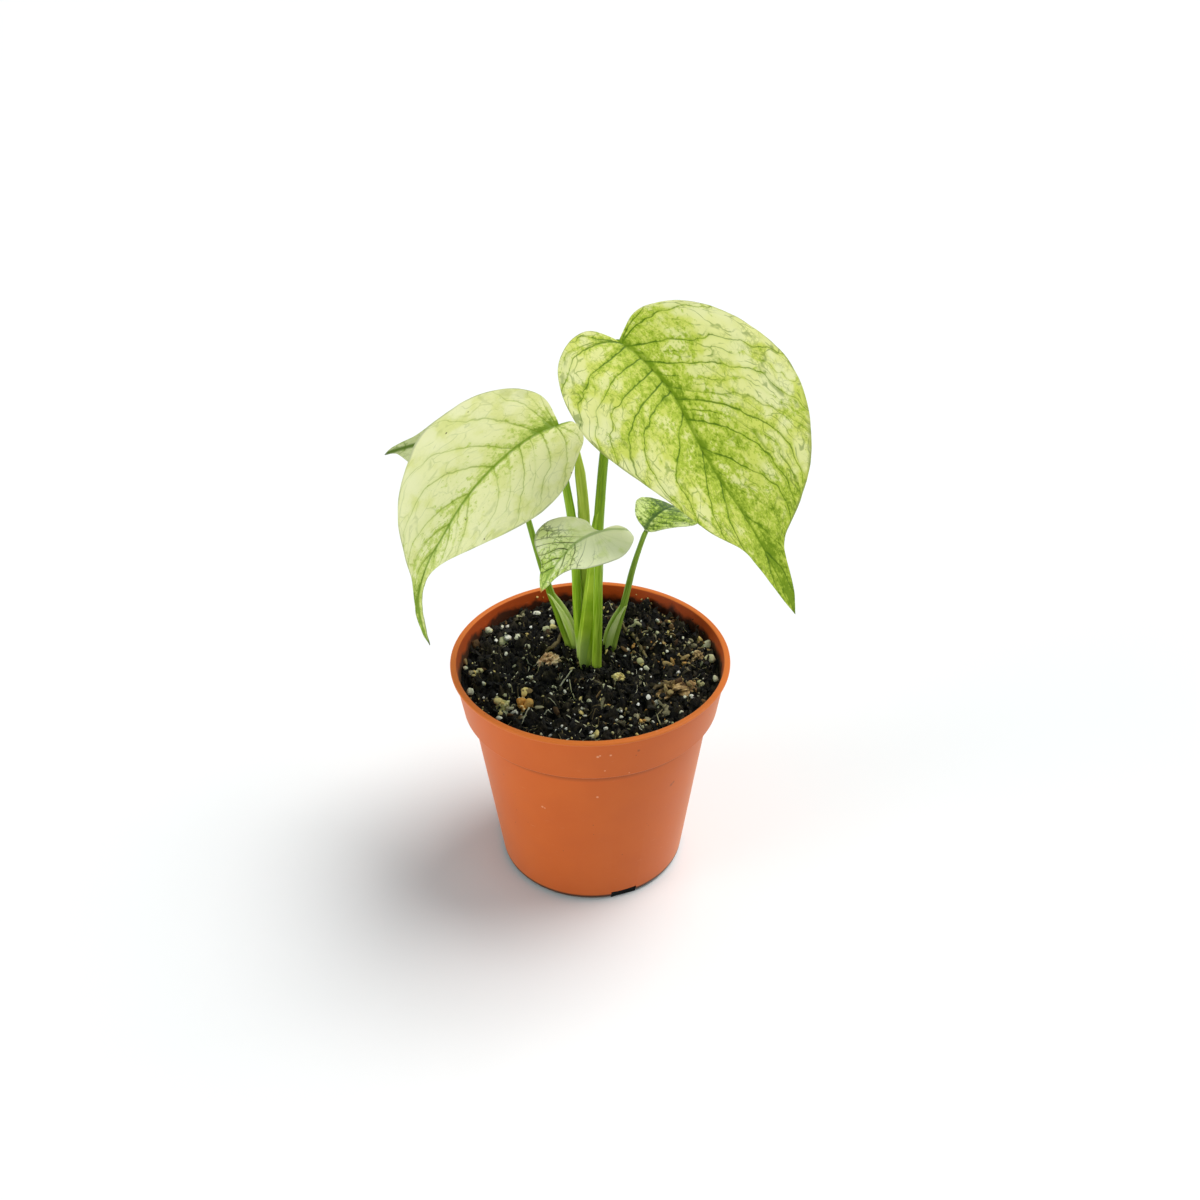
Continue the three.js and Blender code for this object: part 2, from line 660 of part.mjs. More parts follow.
for (const leaf of LEAVES) {
  const seat = blade(leaf, BLADE_THICKNESS + 2 * GAP);
  add(`stalk_${leaf.name}`, largestBody(stalk(leaf, 0).subtract(seat)), greenStalk);
  add(`blade_${leaf.name}`, blade(leaf, BLADE_THICKNESS), mintBlade);
}
add("new_leaf_spear", spear(0), paleSpear);

export default plant;
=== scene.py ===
# %% [markdown]
# # A potted mint monstera
#
# A young climbing plant with pale, green-veined leaves stands in a round nursery pot. The packed
# model already has every part in its place, so this lesson starts by loading it, and then grows
# a finer skin for each part: smooth moulded plastic, crumbly mix, fresh stalks and veined blades.

import bpy
import numpy as np
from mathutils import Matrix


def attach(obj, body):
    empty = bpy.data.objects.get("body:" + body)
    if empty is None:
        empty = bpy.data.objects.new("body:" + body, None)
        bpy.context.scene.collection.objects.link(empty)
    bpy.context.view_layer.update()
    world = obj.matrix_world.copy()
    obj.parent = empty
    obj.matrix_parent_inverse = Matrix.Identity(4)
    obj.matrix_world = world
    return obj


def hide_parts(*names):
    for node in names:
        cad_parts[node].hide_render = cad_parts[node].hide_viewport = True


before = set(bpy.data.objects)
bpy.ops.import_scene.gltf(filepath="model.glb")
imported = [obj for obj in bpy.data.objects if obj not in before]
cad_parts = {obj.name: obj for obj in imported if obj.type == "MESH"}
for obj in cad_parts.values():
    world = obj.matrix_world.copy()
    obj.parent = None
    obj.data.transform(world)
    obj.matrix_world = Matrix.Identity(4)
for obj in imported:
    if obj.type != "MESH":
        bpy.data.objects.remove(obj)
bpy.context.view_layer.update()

# %% [markdown]
# ## Small tools
#
# Everything is worked out in millimetres, because the plant was measured that way, and becomes
# metres only when a mesh is made. Colours are written as the sRGB hex values that a colour picker
# shows, and one function turns them into the linear values that Blender's shaders want.

# %% Units, colours and nodes
MM = 0.001


def linear(hex_colour):
    """An sRGB colour as linear RGBA: a dark channel is divided by 12.92, a brighter one raised to 2.4."""
    channel = np.array([int(hex_colour[i:i + 2], 16) for i in (1, 3, 5)]) / 255
    value = np.where(channel <= 0.04045, channel / 12.92, ((channel + 0.055) / 1.055) ** 2.4)
    return (*value.tolist(), 1.0)


def add(tree, kind, inputs=(), **settings):
    """Adds a shader node, sets its settings, and fills its inputs with plain values or with links: inputs is
    a list of the first ones or a dictionary. A node given as an input stands for its first output in use."""
    node = tree.nodes.new("ShaderNode" + kind)
    for name, value in settings.items():
        setattr(node, name, value)
    for key, value in inputs.items() if isinstance(inputs, dict) else enumerate(inputs):
        if isinstance(value, bpy.types.Node):
            value = next(socket for socket in value.outputs if socket.enabled)
        if isinstance(value, bpy.types.NodeSocket):
            tree.links.new(value, node.inputs[key])
        else:
            node.inputs[key].default_value = value
    return node


def new_material(name):
    """An empty node material: (material, tree)."""
    material = bpy.data.materials.new(name)
    material.use_nodes = True
    material.node_tree.nodes.clear()
    return material, material.node_tree


# %% [markdown]
# A map range is given its value, the range it takes in, and the range it gives out, which is 0 to 1 if
# nothing is said. A colour mix has its share at input 0 and its two colours at 6 and 7, and a mix of
# plain numbers has those at 2 and 3. The settings that many nodes share have a name.

# %% Settings that many nodes share
RGBA = {"data_type": "RGBA"}
SMOOTH = {"interpolation_type": "SMOOTHSTEP"}
PLUS = {"operation": "ADD"}
MINUS = {"operation": "SUBTRACT"}
TIMES = {"operation": "MULTIPLY"}
TIMES_PLUS = {"operation": "MULTIPLY_ADD"}
DIVIDED = {"operation": "DIVIDE"}
LARGER = {"operation": "MAXIMUM"}

# %% [markdown]
# A surface is a grid of points, `rows x columns x 3`. Neighbouring points make a face. Where a
# grid closes on itself or shrinks to a pole, its points coincide, so they are merged and the faces
# that lost a side become triangles. The signed volume then tells whether the faces look outwards.

# %% Grids, closed bodies and pieces
MERGE = 1e-4


def grid_faces(rows, columns, wrap=False, first=0):
    """The faces between neighbours of a grid, as corner numbers. wrap joins the last column to the first."""
    number = first + np.arange(rows * columns).reshape(rows, columns)
    if wrap:
        number = np.hstack([number, number[:, :1]])
    corners = [number[:-1, :-1], number[:-1, 1:], number[1:, 1:], number[1:, :-1]]
    return np.stack(corners, -1).reshape(-1, 4)


def closed_faces(points, faces):
    """Merged points, and the faces that are left as lists of (merged corners, first corners)."""
    keys = np.round(points / MERGE).astype(np.int64)
    _, kept, merged = np.unique(keys, axis=0, return_index=True, return_inverse=True)
    merged = merged.ravel()
    now = merged[faces]
    same = now == np.roll(now, -1, axis=1)
    whole = ~same.any(axis=1)
    left = [(now[whole], faces[whole])]
    for i in range(faces.shape[1] if faces.shape[1] == 4 else 0):
        one = same[:, i] & (same.sum(axis=1) == 1)
        order = [(i + 1) % 4, (i + 2) % 4, (i + 3) % 4]
        left.append((now[one][:, order], faces[one][:, order]))
    return points[kept], [pair for pair in left if len(pair[0])]


def volume(points, faces):
    """The signed volume: the sum over fan triangles of a . (b x c) / 6."""
    total = 0.0
    for corners, _ in faces:
        for i in range(1, corners.shape[1] - 1):
            a, b, c = (points[corners[:, k]] for k in (0, i, i + 1))
            total += np.einsum("ij,ij->i", a, np.cross(b, c)).sum() / 6
    return total


def new_piece(name, points, faces, values=None, smooth=True, crease=None):
    """A mesh object from points in millimetres. values are numbers for each point, kept at face corners,
    so that two halves that share a seam may carry different numbers there."""
    points = np.asarray(points, float).reshape(-1, 3)
    merged, parts = closed_faces(points, faces)
    if volume(merged, parts) < 0:
        parts = [(now[:, ::-1], was[:, ::-1]) for now, was in parts]
    corners = np.concatenate([now.ravel() for now, _ in parts])
    sources = np.concatenate([was.ravel() for _, was in parts])
    counts = np.concatenate([np.full(len(now), now.shape[1]) for now, _ in parts])
    mesh = bpy.data.meshes.new(name)
    mesh.vertices.add(len(merged))
    mesh.vertices.foreach_set("co", (merged * MM).ravel())
    mesh.loops.add(len(corners))
    mesh.loops.foreach_set("vertex_index", corners.astype(np.int32))
    mesh.polygons.add(len(counts))
    starts = np.concatenate([[0], np.cumsum(counts)[:-1]])
    mesh.polygons.foreach_set("loop_start", starts.astype(np.int32))
    mesh.update(calc_edges=True)
    for label, numbers in (values or {}).items():
        layer = mesh.attributes.new(label, "FLOAT_VECTOR", "CORNER")
        layer.data.foreach_set("vector", numbers.reshape(-1, 3)[sources].astype(np.float32).ravel())
    mesh.polygons.foreach_set("use_smooth", np.full(len(counts), smooth))
    if crease is not None:
        mesh.set_sharp_from_angle(angle=np.radians(crease))
    mesh.validate()
    piece = bpy.data.objects.new(name, mesh)
    bpy.context.scene.collection.objects.link(piece)
    print(f"{name}: {len(merged)} points, {int((counts - 2).sum())} triangles")
    return piece


def settle(piece, material, slot, *nodes):
    """Gives a piece its material, sets it on the root body, and hides the nodes that it stands for. slot is
    not used."""
    piece.data.materials.append(material)
    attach(piece, "root")
    if nodes:
        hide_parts(*nodes)
    return piece


# %% [markdown]
# Smooth lines run through a few measured points. A Catmull-Rom curve passes through each of them,
# and its centripetal form doesn't overshoot where points lie close together, as at a stalk's knee.
# Rough ground and bark need noise: a sum of many sine waves in random directions, one set for
# each grain size, gives that without a loop over the points.

# %% Smooth lines and rough noise
def smooth_line(points, per_span, power=0.0):
    """Catmull-Rom through points. power 0 spaces the knots evenly and 0.5 by the root of their distance."""
    p = np.array(points, float)
    p = np.vstack([2 * p[0] - p[1], p, 2 * p[-1] - p[-2]])
    gaps = np.linalg.norm(np.diff(p, axis=0), axis=1)[:, None] ** power
    a, b, c, d = p[:-3], p[1:-2], p[2:-1], p[3:]
    before, here, after = gaps[:-2], gaps[1:-1], gaps[2:]
    start = ((b - a) / before - (c - a) / (before + here) + (c - b) / here) * here
    end = ((c - b) / here - (d - b) / (here + after) + (d - c) / after) * here
    u = np.linspace(0, 1, per_span, endpoint=False)[:, None, None]
    spans = b + start * u + (3 * (c - b) - 2 * start - end) * u**2 + (2 * (b - c) + start + end) * u**3
    return np.vstack([spans.transpose(1, 0, 2).reshape(-1, p.shape[1]), p[-2]])


def lengths(line):
    """The distance travelled along a line at each of its points."""
    return np.concatenate([[0], np.cumsum(np.linalg.norm(np.diff(line, axis=0), axis=1))])


def rough(points, grain, seed, octaves=3, waves=14):
    """Noise of about -1 to 1 with bumps of the given grain in mm: sine waves in random directions,
    and each octave has half the grain and half the height of the one before."""
    random = np.random.default_rng(seed)
    total = np.zeros(points.shape[:-1])
    for octave in range(octaves):
        direction = random.normal(size=(waves, points.shape[-1]))
        direction *= 2 ** octave * 2 * np.pi / (2 * grain) / np.linalg.norm(direction, axis=1)[:, None]
        phase = random.uniform(0, 2 * np.pi, waves)
        total += np.sin(points @ direction.T + phase).sum(axis=-1) / 2 ** octave
    return total / np.sqrt(waves) / 1.2


# %% [markdown]
# Stalks and rootlets are rods. A ring is carried along each one's path: at every step it stands square
# to the path, and the two ends are shut with a pole.

# %% Rings carried along a path
STALK_SIDES = 20


def carried(path, side, rings):
    """Rings of (sideways, back) pairs, one set for each path point, standing square to the path.
    sideways is the given direction with its part along the path taken away."""
    along = np.gradient(path, axis=0)
    along = along / np.linalg.norm(along, axis=1)[:, None]
    across = side - along * (along @ side)[:, None]
    across = across / np.linalg.norm(across, axis=1)[:, None]
    back = np.cross(along, across)
    body = path[:, None] + rings[..., :1] * across[:, None] + rings[..., 1:] * back[:, None]
    first = np.broadcast_to(body[:1].mean(axis=1, keepdims=True), body[:1].shape)
    last = np.broadcast_to(body[-1:].mean(axis=1, keepdims=True), body[:1].shape)
    return np.concatenate([first, body, last])


def round_rings(radii, sides=STALK_SIDES, flat=1.0):
    """Round rings, one for each radius."""
    angle = np.linspace(0, 2 * np.pi, sides, endpoint=False)
    return np.asarray(radii)[:, None, None] * np.stack([np.cos(angle), flat * np.sin(angle)], -1)


def rod_values(body):
    """For the material: the place round the rod, the distance from its foot, and the share of its length."""
    rows, columns = body.shape[:2]
    travelled = lengths(body.mean(axis=1))
    round_share = np.sin(np.linspace(0, np.pi, columns))
    return np.stack(np.broadcast_arrays(round_share[None], travelled[:, None] / 10,
                                        (travelled / travelled[-1])[:, None]), -1)


def many_tubes(name, lines, radii, shades, sides=6):
    """Thin closed rods along lines as one mesh, each tapering at its ends. shade is kept for the material."""
    points, faces, marks = [], [], []
    count = 0
    for line, radius, shade in zip(lines, radii, shades):
        taper = radius * np.sin(np.linspace(0.3, np.pi - 0.3, len(line))) ** 0.5
        body = carried(line, np.array([0, 0, 1.0]), round_rings(taper, sides))
        faces.append(grid_faces(*body.shape[:2], wrap=True, first=count))
        points.append(body.reshape(-1, 3))
        marks.append(np.tile((shade, 0, 0), (len(points[-1]), 1)))
        count += len(points[-1])
    return new_piece(name, np.vstack(points), np.vstack(faces), {"grain": np.vstack(marks)})


# %% [markdown]
# ## Camera, floor and light
#
# The picture is taken from above the front, with a lens whose focal length equals the sensor's width.
# The plant stands on a white sweep. A pale, slightly cool sky fills the shadows, and one soft, slightly
# warm lamp, high on the right, throws the grey shadow that lies to the left of the pot. Two low fill lamps,
# one at each side, keep the flanks of the pot bright. The lamps are suns, because a sun lights the whole
# sweep evenly, and their wide angles make the shadows as soft as large screens would.

# %% Camera
CAMERA_PLACE = (4.34, -420.8, 403.5)
CAMERA_TILT = 90 - 32.77
CAMERA_TURN = 0.006

camera = bpy.data.objects.new("camera", bpy.data.cameras.new("camera"))
camera.data.lens = 36
camera.data.sensor_width = 36
camera.data.clip_start = 0.01
camera.data.clip_end = 50
camera.location = np.array(CAMERA_PLACE) * MM
camera.rotation_mode = "XYZ"
tilt = np.radians(CAMERA_TILT)
camera.rotation_euler = (tilt, CAMERA_TURN * np.sin(tilt), -CAMERA_TURN * np.cos(tilt))
bpy.context.scene.collection.objects.link(camera)
bpy.context.scene.camera = camera
bpy.context.scene.view_settings.view_transform = "Standard"

# %% White floor, pale sky and soft lamps
FLOOR_REACH = 6000
paint, tree = new_material("matt_white_sweep")
shader = add(tree, "BsdfPrincipled", {"Base Color": linear("#F4F6F7"), "Roughness": 0.9})
add(tree, "OutputMaterial", {"Surface": shader})
sheet = np.array([[-1, -1, 0], [1, -1, 0], [1, 1, 0], [-1, 1, 0]]) * FLOOR_REACH
floor_mesh = bpy.data.meshes.new("floor")
floor_mesh.from_pydata((sheet * MM).tolist(), [], [(0, 1, 2, 3)])
floor_mesh.materials.append(paint)
floor = bpy.data.objects.new("floor", floor_mesh)
bpy.context.scene.collection.objects.link(floor)

SKY_TINT = (0.78, 0.955, 1.0, 1.0)
SKY_STRENGTH = 0.37
world = bpy.data.worlds.new("studio")
world.use_nodes = True
world.node_tree.nodes.clear()
sky = add(world.node_tree, "Background", {"Color": SKY_TINT, "Strength": SKY_STRENGTH})
add(world.node_tree, "OutputWorld", {"Surface": sky})
bpy.context.scene.world = world

# each lamp: name, strength, then its width, height and compass direction in degrees, and its tint
LAMPS = [
    ("soft_lamp_right", 2.62, 42, 61, 26, (1.0, 0.93, 0.9)),
    ("low_fill_lamp_left", 2.25, 36, 4, 200, (1.0, 0.98, 0.95)),
    ("low_fill_lamp_right", 0.68, 60, 8, -20, (1.0, 0.99, 0.97)),
]
for name, strength, width, height, compass, tint in LAMPS:
    light = bpy.data.lights.new(name, "SUN")
    light.energy = strength
    light.angle = np.radians(width)
    light.color = tint
    stand = bpy.data.objects.new(name, light)
    stand.rotation_euler = (np.radians(90 - height), 0, np.radians(90 + compass))
    bpy.context.scene.collection.objects.link(stand)
    print(name, "stands", height, "degrees high")

# %% [markdown]
# ## The pot
#
# A nursery pot is injection-moulded polypropylene: one thin wall with a wider band at the top, a
# small shoulder where the pots stack, and a rolled lip. It could be a cylinder with loops pulled
# about, but it is a turned shape, so a profile of radius and height carried round the axis gives it
# exactly. Each corner of the profile is rounded first, because moulded plastic has no knife edge.

# %% Pot profile
POT_HEIGHT = 104.6
RIM_RADIUS = 60
LIP_HEIGHT = 1.4
LIP_OVERHANG = 1.4
BAND_FOOT = POT_HEIGHT - 21.3
BAND_FOOT_RADIUS = 55.6
WALL_TOP = BAND_FOOT - 2.2
WALL_TOP_RADIUS = 52
BASE_RADIUS = 42
BASE_RECESS = 0.6
WALL = 1.2
FLOOR = 1.6
GAP = 0.3
BAND_TOP_RADIUS = RIM_RADIUS - LIP_OVERHANG
LIP_FOOT = POT_HEIGHT - LIP_HEIGHT


def rounded(profile, reach, steps=5):
    """Replaces each inner corner by a curve that starts and ends up to reach from it."""
    p = np.array(profile, float)
    corner, before, after = p[1:-1], p[:-2] - p[1:-1], p[2:] - p[1:-1]
    size_before = np.linalg.norm(before, axis=1)[:, None]
    size_after = np.linalg.norm(after, axis=1)[:, None]
    start = corner + before * np.minimum(reach / size_before, 0.45)
    end = corner + after * np.minimum(reach / size_after, 0.45)
    u = np.linspace(0, 1, steps)[:, None, None]
    curve = start * (1 - u) ** 2 + corner * 2 * u * (1 - u) + end * u**2
    return np.vstack([p[0], curve.transpose(1, 0, 2).reshape(-1, 2), p[-1]])


def turned(profile, segments):
    """Carries a profile of (radius, height) round the axis: x = r cos a, y = r sin a."""
    angle = np.linspace(0, 2 * np.pi, segments, endpoint=False)
    radius, height = profile[:, :1], profile[:, 1:]
    return np.stack([radius * np.cos(angle), radius * np.sin(angle), height + 0 * angle], -1)


outer_profile = [
    (0, BASE_RECESS), (BASE_RADIUS - 4, BASE_RECESS), (BASE_RADIUS - 3.4, 0), (BASE_RADIUS - 1.4, 0),
    (BASE_RADIUS - 0.1, 1.6), (WALL_TOP_RADIUS - 0.5, WALL_TOP - 4),
    (WALL_TOP_RADIUS, WALL_TOP), (BAND_FOOT_RADIUS, BAND_FOOT), (BAND_FOOT_RADIUS + 0.1, BAND_FOOT + 1),
    (BAND_TOP_RADIUS - 0.2, LIP_FOOT - 1.5), (BAND_TOP_RADIUS, LIP_FOOT), (RIM_RADIUS, LIP_FOOT),
    (RIM_RADIUS, POT_HEIGHT),
    (BAND_TOP_RADIUS - WALL, POT_HEIGHT), (BAND_FOOT_RADIUS - WALL, BAND_FOOT),
    (WALL_TOP_RADIUS - WALL, WALL_TOP), (BASE_RADIUS - WALL, FLOOR), (0, FLOOR),
]
POT_SEGMENTS = 180
pot_profile = rounded(outer_profile, 0.7)
pot_points = turned(pot_profile, POT_SEGMENTS)
inside = np.arange(len(pot_profile)) >= np.argmax(pot_profile[:, 1]) + 4
pot_values = np.zeros_like(pot_points)
pot_values[inside, :, 0] = 1
# The top of the lip is marked for a lighter orange, a painted highlight.
lip_highlight_rows = (pot_profile[:, 0] > BAND_TOP_RADIUS - WALL) & (pot_profile[:, 1] > POT_HEIGHT - 0.8) & ~inside
pot_values[lip_highlight_rows, :, 1] = 1
# The creases under the lip and under the band are marked for a dark brown, a painted shade.
for shaded_crevice, depth in [((BAND_TOP_RADIUS, LIP_FOOT), 0.7), ((WALL_TOP_RADIUS, WALL_TOP), 0.5)]:
    pot_values[np.linalg.norm(pot_profile - shaded_crevice, axis=1) < 0.75, :, 2] = depth
pot_piece = new_piece("pot_shell", pot_points, grid_faces(len(pot_profile), POT_SEGMENTS, wrap=True),
                      {"pot_side": pot_values})

# %% [markdown]
# The foot has three slots and the floor six round holes, so that water can leave. They are cut with
# one Boolean, from a single mesh of plain cutters that is thrown away afterwards. A plain near-black
# plug sits just inside each slot, a painted shade, so the slots look dark.

# %% Drainage slots and holes
SLOT_COUNT = 3
SLOT_FIRST_ANGLE = -70
SLOT_SIZE = (10, 12, 8.4)
SLOT_SHADE_PLUG = (2.4, 11.6, 3.8)
SHADE_PLUG_INSET = 2.4
SHADE_PLUG_LIFT = 0.1
HOLE_COUNT = 6
HOLE_RADIUS = 3.5
HOLE_CIRCLE = 26
HOLE_SIDES = 24
SQUARE = np.array([(-1, -1), (1, -1), (1, 1), (-1, 1)])


def turned_about(points, degrees):
    """Points turned about the Z axis."""
    c, s = np.cos(np.radians(degrees)), np.sin(np.radians(degrees))
    return points @ np.array([[c, s, 0], [-s, c, 0], [0, 0, 1]])


def prism(section, low, high):
    """A closed prism on a ring of (x, y) points: two rings of walls, each shut by a pole at its centre."""
    ring = np.column_stack([section, np.zeros(len(section))])
    centre = np.tile(ring.mean(axis=0), (len(ring), 1))
    return np.stack([centre + (0, 0, low), ring + (0, 0, low), ring + (0, 0, high), centre + (0, 0, high)])


half = np.array(SLOT_SIZE) / 2
box_section = SQUARE * half[:2] + (BASE_RADIUS, 0)
round_angle = np.linspace(0, 2 * np.pi, HOLE_SIDES, endpoint=False)
hole_section = HOLE_RADIUS * np.stack([np.cos(round_angle), np.sin(round_angle)], -1) + (HOLE_CIRCLE, 0)
slot_turns = [SLOT_FIRST_ANGLE + i * 360 / SLOT_COUNT for i in range(SLOT_COUNT)]
cutters = [turned_about(prism(box_section, -half[2], half[2]), turn) for turn in slot_turns]
cutters += [turned_about(prism(hole_section, -3 * FLOOR, 3 * FLOOR), i * 360 / HOLE_COUNT)
            for i in range(HOLE_COUNT)]
firsts = np.cumsum([0] + [c.shape[0] * c.shape[1] for c in cutters])
cutter_faces = [grid_faces(*c.shape[:2], wrap=True, first=first) for c, first in zip(cutters, firsts)]
cutter = new_piece("drain_cutter", np.vstack([c.reshape(-1, 3) for c in cutters]), np.vstack(cutter_faces),
                   smooth=False)
boolean = pot_piece.modifiers.new("drains", "BOOLEAN")
boolean.operation = "DIFFERENCE"
boolean.solver = "EXACT"
boolean.object = cutter
cut_mesh = bpy.data.meshes.new_from_object(pot_piece.evaluated_get(bpy.context.evaluated_depsgraph_get()))
pot_piece.modifiers.clear()
pot_piece.data = cut_mesh
pot_piece.data.set_sharp_from_angle(angle=np.radians(50))
bpy.data.objects.remove(cutter)
print("pot after its drains:", len(pot_piece.data.polygons), "faces")

half = np.array(SLOT_SHADE_PLUG) / 2
plug_section = SQUARE * half[:2] + (BASE_RADIUS - SHADE_PLUG_INSET, 0)
plug = prism(plug_section, SHADE_PLUG_LIFT, SHADE_PLUG_LIFT + 2 * half[2])
plugs = np.stack([turned_about(plug, turn) for turn in slot_turns])
plug_faces = [grid_faces(*plug.shape[:2], wrap=True, first=plug.shape[0] * plug.shape[1] * i)
              for i in range(SLOT_COUNT)]
shade_plug_piece = new_piece("shade_plugs_in_slots", plugs, np.vstack(plug_faces), smooth=False)

# %% [markdown]
# Moulded polypropylene has a satin skin: a soft, broad gleam, faint flow marks, and pale scuffs where
# pots were stacked. Its colour is baked-clay orange. The inside is painted a darker red-brown, a painted
# shade, and near the bed darker still, partly with peat smeared on it and partly as painted shade. The
# lowest few mm of the foot are painted near black, a painted contact shadow. The top of the lip is painted
# a lighter orange, a painted highlight, and the creases under the lip and under the band a dark brown, a
# painted shade. A few small nicks and specks of soil are set where they can be seen, each a soft round
# spot. Its refractive index is about 1.49.

# %% Pot plastic
FLOW_MARK = 18 * MM
SKIN_GRAIN = 0.5 * MM
SCUFF_LENGTH = 5 * MM
SMEAR = 9 * MM
SMEAR_WANDER = 12 * MM
SMEAR_AND_SHADE_TOP = (92.5 * MM, 95 * MM)
FOOT_SHADOW = (2.5 * MM, 3.4 * MM)
DUST_CELL = 6 * MM
# each mark: its place, radius and colour, pale for a nick and dark for soil
MARKS = [
    ((34, -36.2, 62.8), 1.1, "#8A4424"), ((34.9, -35.4, 63.6), 0.9, "#8A4424"),
    ((19.3, -54.3, 96.7), 0.8, "#7A3A1C"), ((3.1, -57.5, 96.2), 0.7, "#F0BE98"),
    ((4, -57.4, 96.8), 0.5, "#F0BE98"), ((8.2, -57, 96.6), 0.6, "#F0BE98"),
    ((5.9, -56, 87.7), 0.5, "#E8AE84"), ((2.8, -50.3, 68.8), 0.7, "#EDB68E"),
    ((-20.3, -44.7, 58.6), 0.7, "#EDB68E"), ((-19.3, -45.1, 58.2), 0.5, "#EDB68E"),
    ((15.6, -53.3, 84.6), 0.5, "#E8AE84"),
]
plastic, tree = new_material("moulded_polypropylene_terracotta")
place = add(tree, "TexCoord").outputs["Object"]
level = add(tree, "SeparateXYZ", [place]).outputs[2]
pot_side = add(tree, "Attribute", attribute_name="pot_side").outputs["Vector"]
within, lip_highlight, shaded_crevice = add(tree, "SeparateXYZ", [pot_side]).outputs
flow = add(tree, "TexNoise", {"Vector": place, "Scale": 1 / FLOW_MARK, "Detail": 3.0})
# Near the bed the inside is darkened, partly by peat smeared on it and partly as a painted shade.
smear = add(tree, "TexNoise", {"Vector": place, "Scale": 1 / SMEAR, "Detail": 5.0})
smear_and_shade_edge = add(tree, "Math", [smear, -SMEAR_WANDER, level], **TIMES_PLUS)
smear_and_shade_band = add(tree, "MapRange", [smear_and_shade_edge, SMEAR_AND_SHADE_TOP[0], SMEAR_AND_SHADE_TOP[1], 0.92, 0.0])
smear_and_shade = add(tree, "Math", [smear_and_shade_band, within], **TIMES)
# The lowest few mm of the foot are painted near black, a painted contact shadow.
foot = add(tree, "MapRange", [level, FOOT_SHADOW[0], FOOT_SHADOW[1], 0.95, 0.0])
dark = add(tree, "Math", [smear_and_shade, foot], **LARGER)
stretch = add(tree, "Mapping", {"Vector": place, "Rotation": (0.3, 0.5, 0.2), "Scale": (1.0, 1.0, 7.0)})
scuff = add(tree, "TexNoise", {"Vector": stretch, "Scale": 1 / SCUFF_LENGTH, "Detail": 5.0})
scuffed = add(tree, "MapRange", [scuff, 0.69, 0.8, 0.0, 0.35])
dust = add(tree, "TexVoronoi", {"Vector": place, "Scale": 1 / DUST_CELL})
dusty = add(tree, "MapRange", [dust, 0.035, 0.05, 0.75, 0.0])
# Over the flow tone lie the inside's darker red-brown, a painted shade; near black near the bed, partly peat
# smear and partly painted shade, and at the foot, a painted contact shadow; the lip's painted highlight; the
# creases' painted shade; then pale scuffs, dust specks and the marks.
layers = [(flow, "#CD621E"), (within, "#AE440C"), (dark, "#1E0E06"), (lip_highlight, "#D26E28"),
          (shaded_crevice, "#4A1C08"), (scuffed, "#E0A27E"), (dusty, "#7A3A1C")]
for centre, radius, tone in MARKS:
    off = add(tree, "VectorMath", [place, np.array(centre) * MM], operation="DISTANCE")
    mark = add(tree, "MapRange", [off, 0.4 * radius * MM, radius * MM, 0.6, 0.0])
    layers.append((mark, tone))
colour = linear("#C15614")
for share, tone in layers:
    colour = add(tree, "Mix", {0: share, 6: colour, 7: linear(tone)}, **RGBA)
skin = add(tree, "TexNoise", {"Vector": place, "Scale": 1 / SKIN_GRAIN, "Detail": 2.0})
bump = add(tree, "Bump", {"Height": skin, "Strength": 0.08, "Distance": 0.1 * MM})
gleam = add(tree, "MapRange", [flow, 0.0, 1.0, 0.4, 0.52])
shader = add(tree, "BsdfPrincipled", {
    "Base Color": colour, "Roughness": gleam, "IOR": 1.49, "Specular IOR Level": 0.2, "Normal": bump,
    "Sheen Weight": 0.2, "Sheen Roughness": 0.45, "Sheen Tint": (1.0, 0.76, 0.5, 1.0)})
add(tree, "OutputMaterial", {"Surface": shader})
settle(pot_piece, plastic, "terracotta_plastic", "pot")

# %% [markdown]
# ## The potting mix
#
# Potting mix is peat and bark, nearly black when damp, with white perlite and pale fertiliser
# grains. The bed is a turned shape whose top is pushed up and down by noise, and on it lie thousands
# of small grains. They are one shared low ball, squashed, turned and placed as whole arrays.

# %% Height of the mix
# each lump: name, finish, place, half sizes, turn in degrees, height of its knobs
LUMPS = [
    ("bark_lump_left", "bark", (-18.1, 5), (5.4, 4.1, 4.3), 20, 0.2),
    ("bark_chunk_right", "bark", (36, -15), (8.6, 4.2, 3), 24, 0.26),
    ("bark_chip_right", "bark", (47, 9), (3.2, 2.6, 2.2), 60, 0.2),
    ("clay_grain_middle", "clay_grain", (11.9, -6), (3.2, 2.7, 2.4), 10, 0.12),
    ("clay_grain_left", "clay_grain", (-36.6, -24.5), (3.3, 2.6, 2.4), 40, 0.12),
    ("clay_grain_orange", "clay_grain", (-27.4, -23.6), (3.2, 2.8, 2.4), 75, 0.3),
]
MIX_LEVEL = 95.6
MIX_MOUND = 0.8
MIX_TILT = 1.2
RELIEF = 1.3
MIX_SECTORS = 320
MIX_RINGS = 130


def mix_height(x, y):
    """A low mound, higher at the back, with lumps from a few crossing waves."""
    reach = np.hypot(x, y) / BAND_FOOT_RADIUS
    broad = np.sin(x / 3.3 + 1.4 * np.sin(y / 5.1)) * np.cos(y / 3.7 + 0.8 * np.sin(x / 6.3))
    fine = np.sin(x / 1.9 - y / 2.6 + 2) * np.cos(y / 2.1 + x / 4.4)
    tilt = MIX_TILT * y / BAND_FOOT_RADIUS
    return MIX_LEVEL + MIX_MOUND * (1 - reach**2) + tilt + RELIEF * (0.7 * broad + 0.4 * fine)


CLOD_HEIGHT = 3.5
CRUMB_HEIGHT = 1.2
DEEPEST = 1.8


